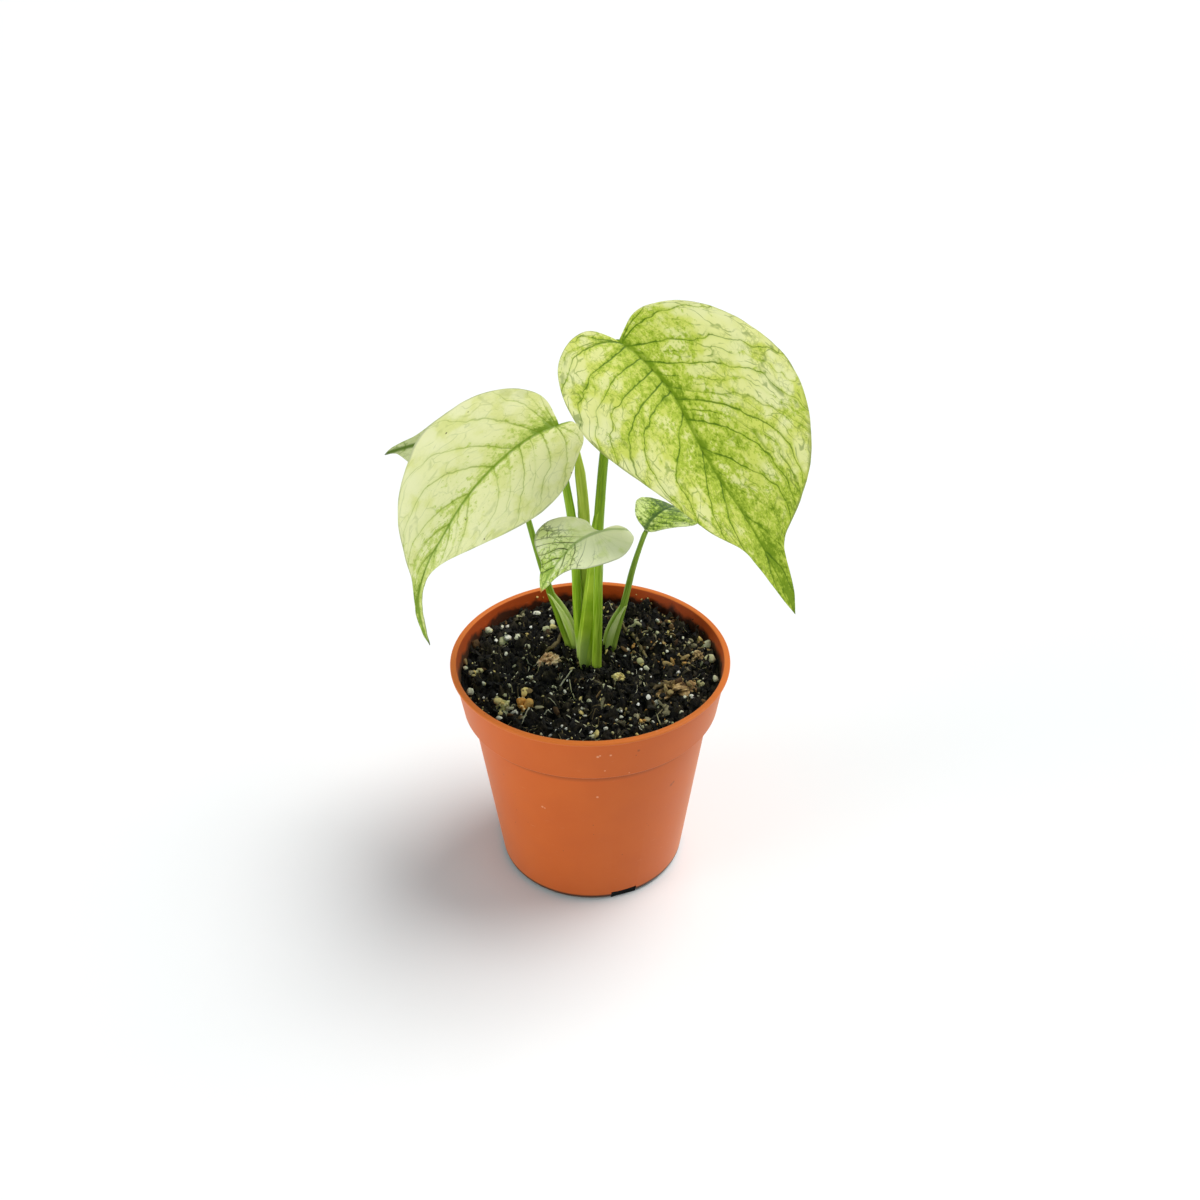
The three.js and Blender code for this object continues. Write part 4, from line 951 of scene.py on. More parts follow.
# %% Leaf table
LEAVES = {
    "large_right": {
        "attach": (12.8, -4, 246), "heading": -30, "pitch": (-40, -62), "roll": 38,
        "length": 121, "fold": 0.3, "droop": 0.2, "half_width": 42,
        "midrib": [(0, 0), (8, 1.8), (25, 2.6), (40, 0.2), (58, -1.6), (82, -0.6), (121, 0)],
        "left": [(-1.5, 0), (-3.2, 3.9), (-5.2, 10), (-3.9, 16.5), (2, 26), (12, 34.8), (26, 41.8),
                 (41.5, 45.3), (57, 41.8), (73, 31.8), (83, 21), (88, 14.4), (92.5, 8.9), (98, 6.1),
                 (112, 3.3), (121, 0)],
        "right": [(-1.5, 0), (-2.9, -2), (-7.5, -3.2), (-11.9, -7.5), (-12.6, -15.5), (-8.5, -24.3),
                  (0, -30), (10, -32.8), (21, -33.6), (36, -30.3), (60, -21.8), (76, -15.5), (88, -8),
                  (98, -5.4), (112, -2.5), (121, 0)],
        "veins_left": [
            (0, -3, 6, -4, 12, -3.9, 16.5), (0, -1.2, 9, 1.5, 20, 9, 32.5),
            (1.5, 9.5, 13, 22, 31, 40, 45.2),
            (10, 21, 15, 33, 28, 57, 41.8), (22, 34, 14, 45, 25, 66, 37), (28, 44, 18.5, 61, 26, 80, 24.5),
            (36, 49, 12.5, 64, 18.5, 85, 18.4), (47, 58, 6.5, 72, 14, 89, 13), (61, 71, 5, 81, 9, 93, 8.5),
            (76, 84, 2.6, 91, 5, 99, 5.8), (93, 99, 1.5, 105, 2.7, 112, 3.3)],
        "veins_right": [
            (0, -4, -3, -8, -7, -12.4, -12), (0, -6, -8.5, -6.5, -20, 0, -30),
            (1.5, 2, -9, 4, -21, 14, -33.2),
            (8.5, 8.2, -10, 11.5, -21, 25, -33), (14.5, 15.6, -10, 20, -22.5, 35, -30.6),
            (20, 23, -12, 30, -22, 46, -26.8), (24.5, 30, -14.5, 42, -21.5, 62, -21),
            (34, 43, -8.5, 55, -15.5, 73, -16.8), (49, 58, -6.5, 69, -10.6, 83, -11.5),
            (62, 71, -5, 81, -7.2, 90, -7.2), (78, 86, -3.3, 92.5, -4.8, 99, -5.2),
            (95, 101, -1.8, 106, -2.6, 112, -2.5)],
    },
    "large_left": {
        "attach": (-12.4, 4, 210), "heading": 208, "pitch": (-11.5, -98), "roll": -35,
        "length": 112.5, "fold": 0.3, "droop": 0.25, "half_width": 32,
        "midrib": [(0, 0), (11, -0.6), (30, 0), (60, 0.2), (73, -1.6), (90, -3.2), (102, -1.8), (112.5, 0)],
        "left": [(-1.5, 0), (-3.2, 0.2), (-6.9, 0.8), (-8.2, 5.6), (-6.5, 11), (0.2, 17), (8, 22.8),
                 (17, 26), (28, 26.8), (38, 24.8), (48, 21), (60, 13.9), (71.5, 5.1), (78, 0.9),
                 (84, -1.2), (92, -1.6), (104, -0.4), (112.5, 0)],
        "right": [(-1.5, 0), (-1.8, -3.6), (-1.5, -11), (1.7, -16.8), (8, -22), (18, -26.8), (29, -29.1),
                  (39, -30.3), (49, -27), (62, -21.4), (74, -13.3), (82, -8.2), (88, -5.8), (100, -3.9),
                  (107, -2), (112.5, 0)],
        "veins_left": [
            (0, -3, 3, -5.5, 7, -6.5, 11), (0, 0, 7, 4, 15, 14, 25), (7, 7.6, 7.5, 15, 17, 33, 26),
            (16, 21, 9, 29, 17.5, 43, 23.1), (29, 36, 10, 46, 14.2, 62, 12.6), (43, 50, 5, 58, 8.2, 68, 8),
            (57, 63, 3, 69, 4, 74, 3.4), (68, 72, 0.3, 76, 0.8, 79, 0.6), (82, 85, -2.4, 89, -2, 93, -1.6)],
        "veins_right": [
            (0, -0.2, -4, 0, -8, -0.6, -13), (1, 4, -7, 7.5, -15, 14, -25.3),
            (7, 13, -7.8, 22, -17.5, 37, -30.2),
            (18, 28, -9.5, 39, -19, 56, -24.2), (29, 40, -9.7, 54, -15, 75, -12.7),
            (42, 52, -4.6, 64, -8.9, 80, -9.3),
            (57, 66, -4.4, 75, -6.7, 85, -6.9), (70, 77, -4.2, 83, -5.2, 91, -5.2),
            (88, 92, -3.6, 96, -3.9, 100, -3.9)],
    },
    "small_left": {
        "attach": (-35, 20, 197.5), "heading": 172, "pitch": (2, -26), "roll": -28,
        "length": 51, "fold": 0.35, "droop": 0.2, "half_width": 15,
        "midrib": [(0, 0), (25, 0.5), (51, 0)],
        "left": [(-1.2, 0), (-4.5, 2.6), (-5, 7.5), (0.5, 12.5), (9, 15.6), (18, 16.4), (28, 14.6),
                 (37, 10.4), (42, 5.2), (45, 2), (48, 0.7), (51, 0)],
        "right": [(-1.2, 0), (-4.5, -2.6), (-5, -7), (1, -11.5), (9, -13.4), (18, -12.6), (28, -8.4),
                  (36, -4), (42, -2.9), (46, -2.1), (49, -1.2), (51, 0)],
    },
    "small_front": {
        "attach": (3.5, -22, 177.4), "heading": 215, "pitch": (0, -67), "roll": -15,
        "length": 33.4, "fold": 0.3, "droop": 0.2, "half_width": 16,
        "midrib": [(0, 0), (10, -0.3), (20, 0.2), (33.4, 0)],
        "left": [(-1.2, -0.4), (-2.6, -0.3), (-6, -1.4), (-11, -2), (-15, -0.6), (-15.4, 3.2), (-11.3, 8.8),
                 (-5, 14), (1.5, 16.2), (8.5, 15), (14.5, 12.2), (19, 7.4), (24.4, 4), (29.5, 2), (33.4, 0)],
        "right": [(-1.2, -0.4), (0.6, -2.4), (0.6, -6.2), (4, -10.8), (9.5, -14.8), (14.6, -15.7),
                  (19, -13.4), (21.6, -9.2), (24.2, -4.8), (29, -2.5), (33.4, 0)],
        "veins_left": [
            (0, -5, 1.2, -10, 1.5, -15.4, 0.5), (0, -3, 5, -6.5, 9, -11.3, 8.8),
            (0, -0.5, 6, -1.5, 11, -2, 15.4),
            (0.8, 3, 5, 5, 10, 7, 15.5), (2, 5, 4.5, 8, 9.2, 14.2, 12.4), (4.5, 7.7, 3, 11, 5.8, 17.2, 9.3),
            (10.5, 13, 2.6, 15.5, 3.9, 19.6, 7), (15, 18, 1.4, 20.5, 2.4, 24.4, 4),
            (21, 24, 0.9, 26, 1.5, 29, 2.1)],
        "veins_right": [
            (0, 0.3, -2, 0.5, -4, 0.6, -6.2), (0, 2.5, -4, 3.5, -8, 6, -12.2),
            (0, 4, -2.8, 8.5, -5.6, 16.5, -15),
            (5, 9, -3, 12.5, -6.5, 19.2, -13), (9.5, 13, -3.3, 16, -6.5, 20.8, -10.8),
            (14, 16.2, -3.2, 19, -4.6, 22.6, -7.8), (18, 20, -1.8, 22, -3, 24.6, -4.5),
            (22.5, 24, -1.2, 25.3, -2.2, 27, -3.2)],
    },
    "small_right": {
        "attach": (23.9, 16, 157.7), "heading": 65, "pitch": (3, -28), "roll": 8,
        "length": 38, "fold": 0.3, "droop": 0.2, "half_width": 16,
        "midrib": [(0, 0), (6, 0.6), (20, 0.6), (38, 0)],
        "left": [(-1, 0), (0, 1.6), (2.6, 5), (5.9, 7.8), (10.5, 10.1), (19, 13), (26, 12), (32, 7),
                 (35, 2.8), (38, 0)],
        "right": [(-1, 0), (-1.8, -2.6), (1, -5.6), (4.4, -9), (8, -12.2), (13.4, -15.4), (20, -16.4),
                  (27, -13), (32, -7.2), (35, -2.6), (38, 0)],
    },
}
GROOVE = 0.02


# %% A blade's own directions
def leaf_frame(leaf, along):
    """Centre, tangent, across and normal at distances along the midrib. The slope changes evenly, so the
    midrib is an arc: run = (sin p - sin p0) / bend and rise = (cos p0 - cos p) / bend."""
    heading, roll = np.radians(leaf["heading"]), np.radians(leaf["roll"])
    start, end = np.radians(leaf["pitch"])
    bend = (end - start) / leaf["length"]
    pitch = (start + bend * np.asarray(along, float))[..., None]
    forward = np.array([np.cos(heading), np.sin(heading), 0])
    level = np.array([-np.sin(heading), np.cos(heading), 0])
    up = np.array([0, 0, 1.0])
    centre = leaf["attach"] + (np.sin(pitch) - np.sin(start)) / bend * forward
    centre = centre + (np.cos(start) - np.cos(pitch)) / bend * up
    tangent = np.cos(pitch) * forward + np.sin(pitch) * up
    face = -np.sin(pitch) * forward + np.cos(pitch) * up
    across = np.cos(roll) * level + np.sin(roll) * face
    return centre, tangent, across, np.cross(tangent, across)


def on_blade(leaf, along, across, middle, lift):
    """A pattern point in space. The halves rise from the midrib and droop again: height =
    w (fold (sqrt(x x + g) - sqrt(g)) - droop x x), where x is the distance from the midrib over w."""
    width = leaf["half_width"]
    x = (across - middle) / width
    height = width * (leaf["fold"] * (np.sqrt(x * x + GROOVE) - np.sqrt(GROOVE)) - leaf["droop"] * x * x)
    centre, _, sideways, normal = leaf_frame(leaf, along)
    return centre + sideways * across[..., None] + normal * (height + lift)[..., None]


# %% [markdown]
# The two small side blades hide their veins, so theirs are laid out by rule: feet spread along the
# midrib, ends where a slanting line from each foot meets the edge, and a slight bow towards the base.

# %% Rows that follow the veins
VEIN_FEET = (0, 0, 0.06, 0.17, 0.3, 0.45, 0.62, 0.8)
VEIN_SLANT = 0.45
VEIN_BOW = 0.1
ROW_STEP = 1.0
COLUMNS = 36


def veins_by_rule(leaf, edge):
    """Veins for a half whose own weren't traced."""
    meets = np.maximum.accumulate(edge[:, 0] - VEIN_SLANT * np.abs(edge[:, 1]))
    fans = np.argmax(meets > 0)
    veins = []
    for i, share in enumerate(VEIN_FEET):
        foot = share * leaf["length"]
        place = fans * (i + 1) // 3 if share == 0 else np.argmax(meets >= foot)
        end = edge[place]
        bow = VEIN_BOW * np.hypot(*(end - (foot, 0)))
        first = np.array([foot, 0]) * 2 / 3 + end / 3 - (bow, 0)
        second = np.array([foot, 0]) / 3 + end * 2 / 3 - (bow, 0)
        veins.append((foot, *first, *second, *end))
    return veins


def half_rows(leaf, side):
    """What the rows of a half need: its edge line, and the foot, edge distance and bows of every vein."""
    edge = smooth_line(leaf[side], 40)
    travelled = lengths(edge)
    veins = leaf.get("veins_" + side) or veins_by_rule(leaf, edge)
    first = (0, *edge[0] / 3, *edge[0] * 2 / 3, *edge[0])
    last = (leaf["length"], *edge[-1], *edge[-1], *edge[-1])
    table = np.array([first, *veins, last], float)
    nearest = np.linalg.norm(table[:, None, 5:7] - edge[None], axis=-1).argmin(axis=1)
    ends = np.maximum.accumulate(travelled[nearest])
    midrib = smooth_line(leaf["midrib"], 40)
    foot = np.column_stack([table[:, 0], np.interp(table[:, 0], midrib[:, 0], midrib[:, 1])])
    bow_one = table[:, 1:3] - (foot * 2 + edge[nearest]) / 3
    bow_two = table[:, 3:5] - (foot + edge[nearest] * 2) / 3
    return {"edge": edge, "travelled": travelled, "feet": table[:, 0], "ends": ends,
            "bows": np.hstack([bow_one, bow_two]), "midrib": midrib}


def shared_feet(leaf, halves):
    """Feet on the midrib for both halves, close enough that no row moves more than a step on either edge."""
    fine = np.linspace(0, leaf["length"], 6000)
    pace = [np.gradient(np.interp(fine, half["feet"][fan_of(half):], half["ends"][fan_of(half):]), fine)
            for half in halves]
    pace = np.maximum(np.max(pace, axis=0), 1) / ROW_STEP
    count = np.concatenate([[0], np.cumsum(pace[1:] * np.diff(fine))])
    return np.interp(np.linspace(0, count[-1], int(count[-1]) + 2), count, fine)


def fan_of(half):
    """The number of the last vein that starts at the stalk's joint."""
    return int(np.flatnonzero(half["feet"] == 0)[-1])


# %% Pattern points of one half
# The right half counts its veins from 40, so that the material can tell the halves apart.
RIGHT_COUNT = 40


def half_pattern(leaf, half, feet, sign):
    """The pattern of one half as arrays of rows x columns: distance along, across, the midrib's own
    across, the vein number, the share of the way out, and the gap between neighbouring veins."""
    fan = fan_of(half)
    numbers = np.arange(len(half["feet"]))
    fan_count = int(half["ends"][fan] / ROW_STEP) + 2
    on_midrib = np.interp(feet, half["feet"][fan:], numbers[fan:])
    vein = np.concatenate([np.linspace(0, fan, fan_count)[:-1], on_midrib])
    foot = np.concatenate([np.zeros(fan_count - 1), feet])
    end = np.interp(vein, numbers, half["ends"])
    tip = np.stack([np.interp(end, half["travelled"], half["edge"][:, i]) for i in (0, 1)], -1)
    start = np.stack([foot, np.interp(foot, half["midrib"][:, 0], half["midrib"][:, 1])], -1)
    bows = np.stack([np.interp(vein, numbers, half["bows"][:, i]) for i in range(4)], -1)
    out = np.linspace(0, 1, COLUMNS) ** 1.2
    first = 13.5 * out * (out - 2 / 3) * (out - 1)
    second = -13.5 * out * (out - 1 / 3) * (out - 1)
    at = start[:, None] * (1 - out)[:, None] + tip[:, None] * out[:, None]
    at = at + first[:, None] * bows[:, None, :2] + second[:, None] * bows[:, None, 2:]
    turn = np.gradient(at, vein, axis=0)
    way = np.gradient(at, out, axis=1)
    way = way / np.maximum(np.linalg.norm(way, axis=-1, keepdims=True), 1e-6)
    gap = np.abs(turn[..., 0] * way[..., 1] - turn[..., 1] * way[..., 0])
    middle = np.interp(at[..., 0], half["midrib"][:, 0], half["midrib"][:, 1])
    shape = at.shape[:2]
    return {"along": at[..., 0], "across": at[..., 1], "middle": middle, "gap": gap,
            "vein": np.broadcast_to(vein[:, None], shape) + (0 if sign > 0 else RIGHT_COUNT),
            "out": np.broadcast_to(out, shape)}


# %% [markdown]
# The upper skin sinks along the veins and swells between them, and the midrib is a groove above and
# a thick rib below. The edge is thinner than the middle.

# %% Blades
MIDDLE_THICKNESS = 0.6
EDGE_THICKNESS = 0.34
VEIN_SINK = 0.2
VEIN_GROOVE = 0.9
MIDRIB_SINK = 0.35
MIDRIB_GROOVE = (1.1, 0.2)
RIB_DEPTH = 1.7
RIB_WIDTH = (0.9, 0.35)
PUCKER = 0.16
PUCKER_GRAIN = 5.0
FULL_LENGTH = 120


def blade_piece(name, leaf):
    """Both skins of a blade, joined round the edge. size is its length as a share of a large blade's."""
    halves = [half_rows(leaf, side) for side in ("left", "right")]
    feet = shared_feet(leaf, halves)
    points, faces, marks, flats = [], [], [], []
    count = 0
    size = leaf["length"] / FULL_LENGTH
    groove, rib_width = (slim * size + least for slim, least in (MIDRIB_GROOVE, RIB_WIDTH))
    for half, sign in zip(halves, (1, -1)):
        p = half_pattern(leaf, half, feet, sign)
        beside = np.abs(p["across"] - p["middle"])
        vein_off = np.abs(p["vein"] - np.round(p["vein"])) * p["gap"]
        fade = np.clip(1 - p["along"] / leaf["length"], 0, 1) ** 0.5
        sink = VEIN_SINK * size * np.exp(-(vein_off / VEIN_GROOVE) ** 2) * (1 - p["out"]) ** 0.6
        sink = sink + MIDRIB_SINK * size * fade * np.exp(-(beside / groove) ** 2)
        flat_places = np.stack([p["along"], p["across"]], -1)
        pucker = PUCKER * rough(flat_places, PUCKER_GRAIN, seed=7, octaves=2) * p["out"]
        thick = MIDDLE_THICKNESS + (EDGE_THICKNESS - MIDDLE_THICKNESS) * p["out"]
        rib = RIB_DEPTH * (0.35 + 0.65 * size) * fade * np.exp(-(beside / rib_width) ** 2)
        upper = on_blade(leaf, p["along"], p["across"], p["middle"], thick / 2 - sink + pucker)
        lower = on_blade(leaf, p["along"], p["across"], p["middle"], -thick / 2 - rib + pucker)
        rows, columns = p["along"].shape
        up_faces = grid_faces(rows, columns, first=count)
        low_faces = grid_faces(rows, columns, first=count + rows * columns)[:, ::-1]
        rim_up = count + np.arange(rows) * columns + columns - 1
        rim_low = rim_up + rows * columns
        rim = np.stack([rim_up[:-1], rim_low[:-1], rim_low[1:], rim_up[1:]], -1)[:, ::-1]
        some = np.vstack([up_faces, low_faces, rim])
        faces.append(some if sign > 0 else some[:, ::-1])
        mark = np.stack([p["vein"], p["out"], p["gap"] / 10], -1)
        flat = np.stack([p["along"] / 10, p["across"] / 10, beside / 10], -1)
        points += [upper.reshape(-1, 3), lower.reshape(-1, 3)]
        marks += [mark.reshape(-1, 3)] * 2
        flats += [flat.reshape(-1, 3)] * 2
        count += 2 * rows * columns
    values = {"vein_map": np.vstack(marks), "flat_map": np.vstack(flats)}
    return new_piece(name, np.vstack(points), np.vstack(faces), values, crease=70)


# %% [markdown]
# A living blade is a waxy skin over soft green cells, with a satin gleam. Its patterns are laid out in
# the flat leaf: places in centimetres along and beside the midrib, the vein number, and the share of the
# way out to the edge. Each pattern is a noise of its own size, given in mm.

# %% What a blade's patterns are made from
# RIGHT_HALF lies between the vein numbers of the two halves. Each noise has its grain in mm, its detail and
# its roughness.
RIGHT_HALF = 30
NOISES = {
    "drift": (11, 1, 0.5), "tremble": (4, 2, 0.5), "main_gaps": (7, 2, 0.5), "second_gaps": (6, 2, 0.5),
    "third_gaps": (5, 2, 0.5), "crook": (6, 1, 0.5), "net_gaps": (5, 3, 0.5), "fine_gaps": (8, 2, 0.5),
    "flame": (4, 4, 0.65), "patch": (16, 2, 0.5), "fleck": (2, 8, 0.72), "speck": (0.9, 3, 0.5),
    "cloud": (9, 4, 0.5), "cream": (14, 2, 0.5), "spot_gaps": (20, 1, 0.5), "edge_gaps": (12, 2, 0.5),
    "skin": (0.8, 3, 0.5),
}


def blade_places(tree, length):
    """The flat leaf's measures and its noises, as one dictionary. share runs from stalk to tip, beside is the
    distance from the midrib in mm, and right is 1 in the right half."""
    vein_map = add(tree, "Attribute", attribute_name="vein_map").outputs["Vector"]
    flat_map = add(tree, "Attribute", attribute_name="flat_map").outputs["Vector"]
    vein, out, gap = add(tree, "SeparateXYZ", [vein_map]).outputs
    along, _, beside = add(tree, "SeparateXYZ", [flat_map]).outputs
    at = {"flat": flat_map, "vein": vein, "out": out}
    at["gap"] = add(tree, "Math", [gap, 10.0], **TIMES)
    at["beside"] = add(tree, "Math", [beside, 10.0], **TIMES)
    at["share"] = add(tree, "Math", [along, length / 10], **DIVIDED)
    at["right"] = add(tree, "MapRange", [vein, RIGHT_HALF, RIGHT_HALF + 1], **SMOOTH)
    for name, (size, detail, roughness) in NOISES.items():
        at[name] = add(tree, "TexNoise", {"Vector": flat_map, "Scale": 10 / size, "Detail": detail,
                                          "Roughness": roughness})
    return at


# %% [markdown]
# The main veins lie where the vein number is whole. Weaker ones lie between them, where the number plus
# a shift is whole, and only a share of those can be seen. They wander a little, thin out and fade towards
# the edge, break up here and there, and carry a soft green halo. The net between them is the edges of
# Voronoi cells that are longer along a vein than across it, and the finest net is that of small even
# cells.

# %% Veins and nets
VEIN_WIDTH = 0.28
HALO_REACH = 0.9
NET_STRETCH = (1.9, 4.8)
FINE_CELL = 2.8
SHAKE_GRAIN = 2.0
SHAKE = 0.25
STREAK_STRETCH = (7.0, 2.6, 1.0)
# each order of veins: shift, width, seed, the share that can be seen, the noise that breaks them up, the
# range in which that works, and how much is left in a gap
VEIN_ORDERS = [
    (0.0, 1.0, 3.5, 1.0, "main_gaps", 0.32, 0.5, 0.6),
    (0.5, 0.75, 11.5, 0.55, "second_gaps", 0.45, 0.55, 0.0),
    (0.27, 0.6, 23.5, 0.45, "third_gaps", 0.55, 0.62, 0.0),
]


def blade_veins(tree, at, look):
    """Adds to the places how strong the main veins, the side veins, the halo, the net, the fine net and the
    streaks between the veins are."""
    wander = look["wander"]
    drift = add(tree, "Math", [at["drift"], 1.2 * wander, -0.6 * wander], **TIMES_PLUS)
    drifted = add(tree, "Math", [drift, at["out"], at["vein"]], **TIMES_PLUS)
    number = add(tree, "Math", [at["tremble"], 0.18, -0.09], **TIMES_PLUS)
    number = add(tree, "Math", [number, drifted], **PLUS)
    fading = add(tree, "Math", [at["out"], -look["fade"], 1.0], **TIMES_PLUS)
    lines, halos = [], []
    for shift, wide, seed, kept, gaps, low, high, least in VEIN_ORDERS:
        moved = add(tree, "Math", [number, shift], **PLUS)
        whole = add(tree, "Math", [moved], operation="ROUND")
        off = add(tree, "Math", [moved, whole], **MINUS)
        off = add(tree, "Math", [off], operation="ABSOLUTE")
        off = add(tree, "Math", [off, at["gap"]], **TIMES)
        own = add(tree, "Math", [whole, seed], **PLUS)
        own = add(tree, "TexWhiteNoise", {"W": own}, noise_dimensions="1D")
        seen = add(tree, "MapRange", [own, 1 - kept, 1.3 - kept], **SMOOTH)
        strength = add(tree, "Math", [seen, fading], **TIMES)
        width = VEIN_WIDTH * wide
        width = add(tree, "MapRange", [at["out"], 0.0, 1.0, width, width * 0.6], **SMOOTH)
        line = add(tree, "Math", [off, width], **DIVIDED)
        line = add(tree, "MapRange", [line, 0.45, 1.5, 1.0, 0.0], **SMOOTH)
        broken = add(tree, "MapRange", [at[gaps], low, high, least], **SMOOTH)
        halo = add(tree, "Math", [off, -HALO_REACH * wide], **DIVIDED)
        halo = add(tree, "Math", [halo], operation="EXPONENT")
        for factor in (strength, broken):
            line = add(tree, "Math", [line, factor], **TIMES)
        lines.append(line)
        halos.append(add(tree, "Math", [halo, strength], **TIMES))
    at["main"], at["main_halo"] = lines[0], halos[0]
    at["side"] = add(tree, "Math", [lines[1], lines[2]], **LARGER)
    second_halo = add(tree, "Math", [halos[1], 0.7], **TIMES)
    halo = add(tree, "Math", [halos[0], second_halo], **LARGER)
    at["halo"] = add(tree, "Math", [halo, look["halo"]], **TIMES)

    crook = add(tree, "Math", [at["crook"], 0.7, -0.35], **TIMES_PLUS)
    across_veins = add(tree, "Math", [number, NET_STRETCH[0], crook], **TIMES_PLUS)
    along_veins = add(tree, "Math", [at["out"], NET_STRETCH[1], crook], **TIMES_PLUS)
    stretched = add(tree, "CombineXYZ", [across_veins, along_veins])
    net = add(tree, "TexVoronoi", {"Vector": stretched, "Scale": 1.0}, feature="DISTANCE_TO_EDGE")
    net = add(tree, "MapRange", [net, 0.014, 0.055, 1.0, 0.0], **SMOOTH)
    net_gaps = add(tree, "MapRange", [at["net_gaps"], 0.4, 0.56, 0.1], **SMOOTH)
    outer = add(tree, "MapRange", [at["out"], 0.12, 0.5, 0.3], **SMOOTH)
    for factor in (net_gaps, outer):
        net = add(tree, "Math", [net, factor], **TIMES)
    at["net"] = net
    shaken = add(tree, "TexNoise", {"Vector": at["flat"], "Scale": 10 / SHAKE_GRAIN, "Detail": 2.0})
    warped = add(tree, "VectorMath", [shaken.outputs["Color"], (SHAKE,) * 3, at["flat"]], **TIMES_PLUS)
    fine = add(tree, "TexVoronoi", {"Vector": warped, "Scale": 10 / FINE_CELL}, feature="DISTANCE_TO_EDGE")
    fine = add(tree, "MapRange", [fine, 0.03, 0.1, 1.0, 0.0], **SMOOTH)
    fine_gaps = add(tree, "MapRange", [at["fine_gaps"], 0.42, 0.55], **SMOOTH)
    at["fine"] = add(tree, "Math", [fine, fine_gaps], **TIMES)
    streaks = add(tree, "CombineXYZ", [number, at["out"], 1.0])
    streaks = add(tree, "VectorMath", [streaks, STREAK_STRETCH], **TIMES)
    at["streak"] = add(tree, "TexNoise", {"Vector": streaks, "Scale": 1.0, "Detail": 5.0})


# %% [markdown]
# On this plant the green is scattered: a cream ground, yellow-green clouds, and green flecks that crowd
# along the midrib, round the veins and towards the tip. All the things that bring green are added up to
# one amount, and the flecks, the deep flecks and the clouds are noises that grow with it. The green at the
# midrib falls off with the distance over a reach in mm, and streaks make it look like flames.

# %% Where the green is
GREEN_REACH = (1.5, 9.0)
BLUSH_REACH = 4.0
SPOT_CELL = 8.0


def blade_greens(tree, at, look):
    """Adds to the places how strong the clouds, flecks, deep flecks, specks, cream and brown spots are."""
    halves = [(look["near_left"], look["near_right"]), (look["tip_left"], look["tip_right"]),
              (1.0, look["rib_right"])]
    near, tip, at["rib_half"] = [add(tree, "Math", [at["right"], right - left, left], **TIMES_PLUS)
                                 for left, right in halves]
    flame = add(tree, "Mix", {0: look["streaky"], 2: at["flame"], 3: at["streak"]})
    reach = add(tree, "MapRange", [flame, 0.34, 0.66, -GREEN_REACH[0], -GREEN_REACH[1]], **SMOOTH)
    near_rib = add(tree, "Math", [at["beside"], reach], **DIVIDED)
    near_rib = add(tree, "Math", [near_rib], operation="EXPONENT")
    near_fade = add(tree, "MapRange", [at["share"], 0.4, 0.85, 1.0, look["near_tip"]], **SMOOTH)
    near_rib = add(tree, "Math", [near_rib, near_fade], **TIMES)
    to_tip = add(tree, "MapRange", [at["share"], look["tip_from"], look["tip_to"]], **SMOOTH)
    at_foot = add(tree, "MapRange", [at["share"], 0.0, 0.16, look["blush"], 0.0], **SMOOTH)
    blush = add(tree, "Math", [at["beside"], -BLUSH_REACH], **DIVIDED)
    blush = add(tree, "Math", [blush], operation="EXPONENT")
    blush = add(tree, "Math", [blush, at_foot], **TIMES)
    rim = add(tree, "MapRange", [at["out"], 0.4, 1.0], **SMOOTH)
    pale = add(tree, "MapRange", [at["share"], 0.3, 0.65, -look["pale_edge"], 0.0], **SMOOTH)
    amount = look["green"] - 0.5 * look["patchy"]
    for first, second in [(at["patch"], look["patchy"]), (near_rib, near), (to_tip, tip),
                          (blush, at["right"]), (at["halo"], 1.0), (rim, pale)]:
        amount = add(tree, "Math", [first, second, amount], **TIMES_PLUS)

    level = add(tree, "Mix", {0: look["streaky"], 2: at["fleck"], 3: at["streak"]})
    level = add(tree, "Math", [level, amount], **PLUS)
    at["flecked"] = add(tree, "MapRange", [level, 0.53, 0.66, 0.0, 0.85], **SMOOTH)
    at["deep"] = add(tree, "MapRange", [level, 0.68, 0.84, 0.0, 0.85], **SMOOTH)
    speck = add(tree, "MapRange", [at["speck"], 0.54, 0.62, 0.0, look["speck"]], **SMOOTH)
    green = add(tree, "MapRange", [level, 0.5, 0.62], **SMOOTH)
    at["specks"] = add(tree, "Math", [speck, green], **TIMES)
    cloud = add(tree, "Math", [amount, look["clouded"], at["cloud"]], **TIMES_PLUS)
    at["clouds"] = add(tree, "MapRange", [cloud, 0.42, 0.62], **SMOOTH)
    cream = add(tree, "MapRange", [at["cream"], 0.4, 0.6, 0.0, look["cream"]], **SMOOTH)
    outer = add(tree, "MapRange", [at["out"], 0.3, 0.9], **SMOOTH)
    foot = add(tree, "MapRange", [at["share"], 0.3, 0.7, 1.0, 0.2], **SMOOTH)
    for factor in (outer, foot):
        cream = add(tree, "Math", [cream, factor], **TIMES)
    at["creamy"] = cream
    spot = add(tree, "TexVoronoi", {"Vector": at["flat"], "Scale": 10 / SPOT_CELL})
    spot = add(tree, "MapRange", [spot, 0.035, 0.065, look["spots"], 0.0], **SMOOTH)
    spot_gaps = add(tree, "MapRange", [at["spot_gaps"], 0.44, 0.49], **SMOOTH)
    at["spots"] = add(tree, "Math", [spot, spot_gaps], **TIMES)


# %% [markdown]
# The colours lie over each other as they do in the leaf: cream and clouds, flecks, the nets and the
# veins, the dark line of the midrib, the thin edge, brown spots, and last the dry drip tip. A value of
# the look says how strong, how wide or how far each of them is. The veins are a little sunk, and the
# refractive index of leaf wax is about 1.45.

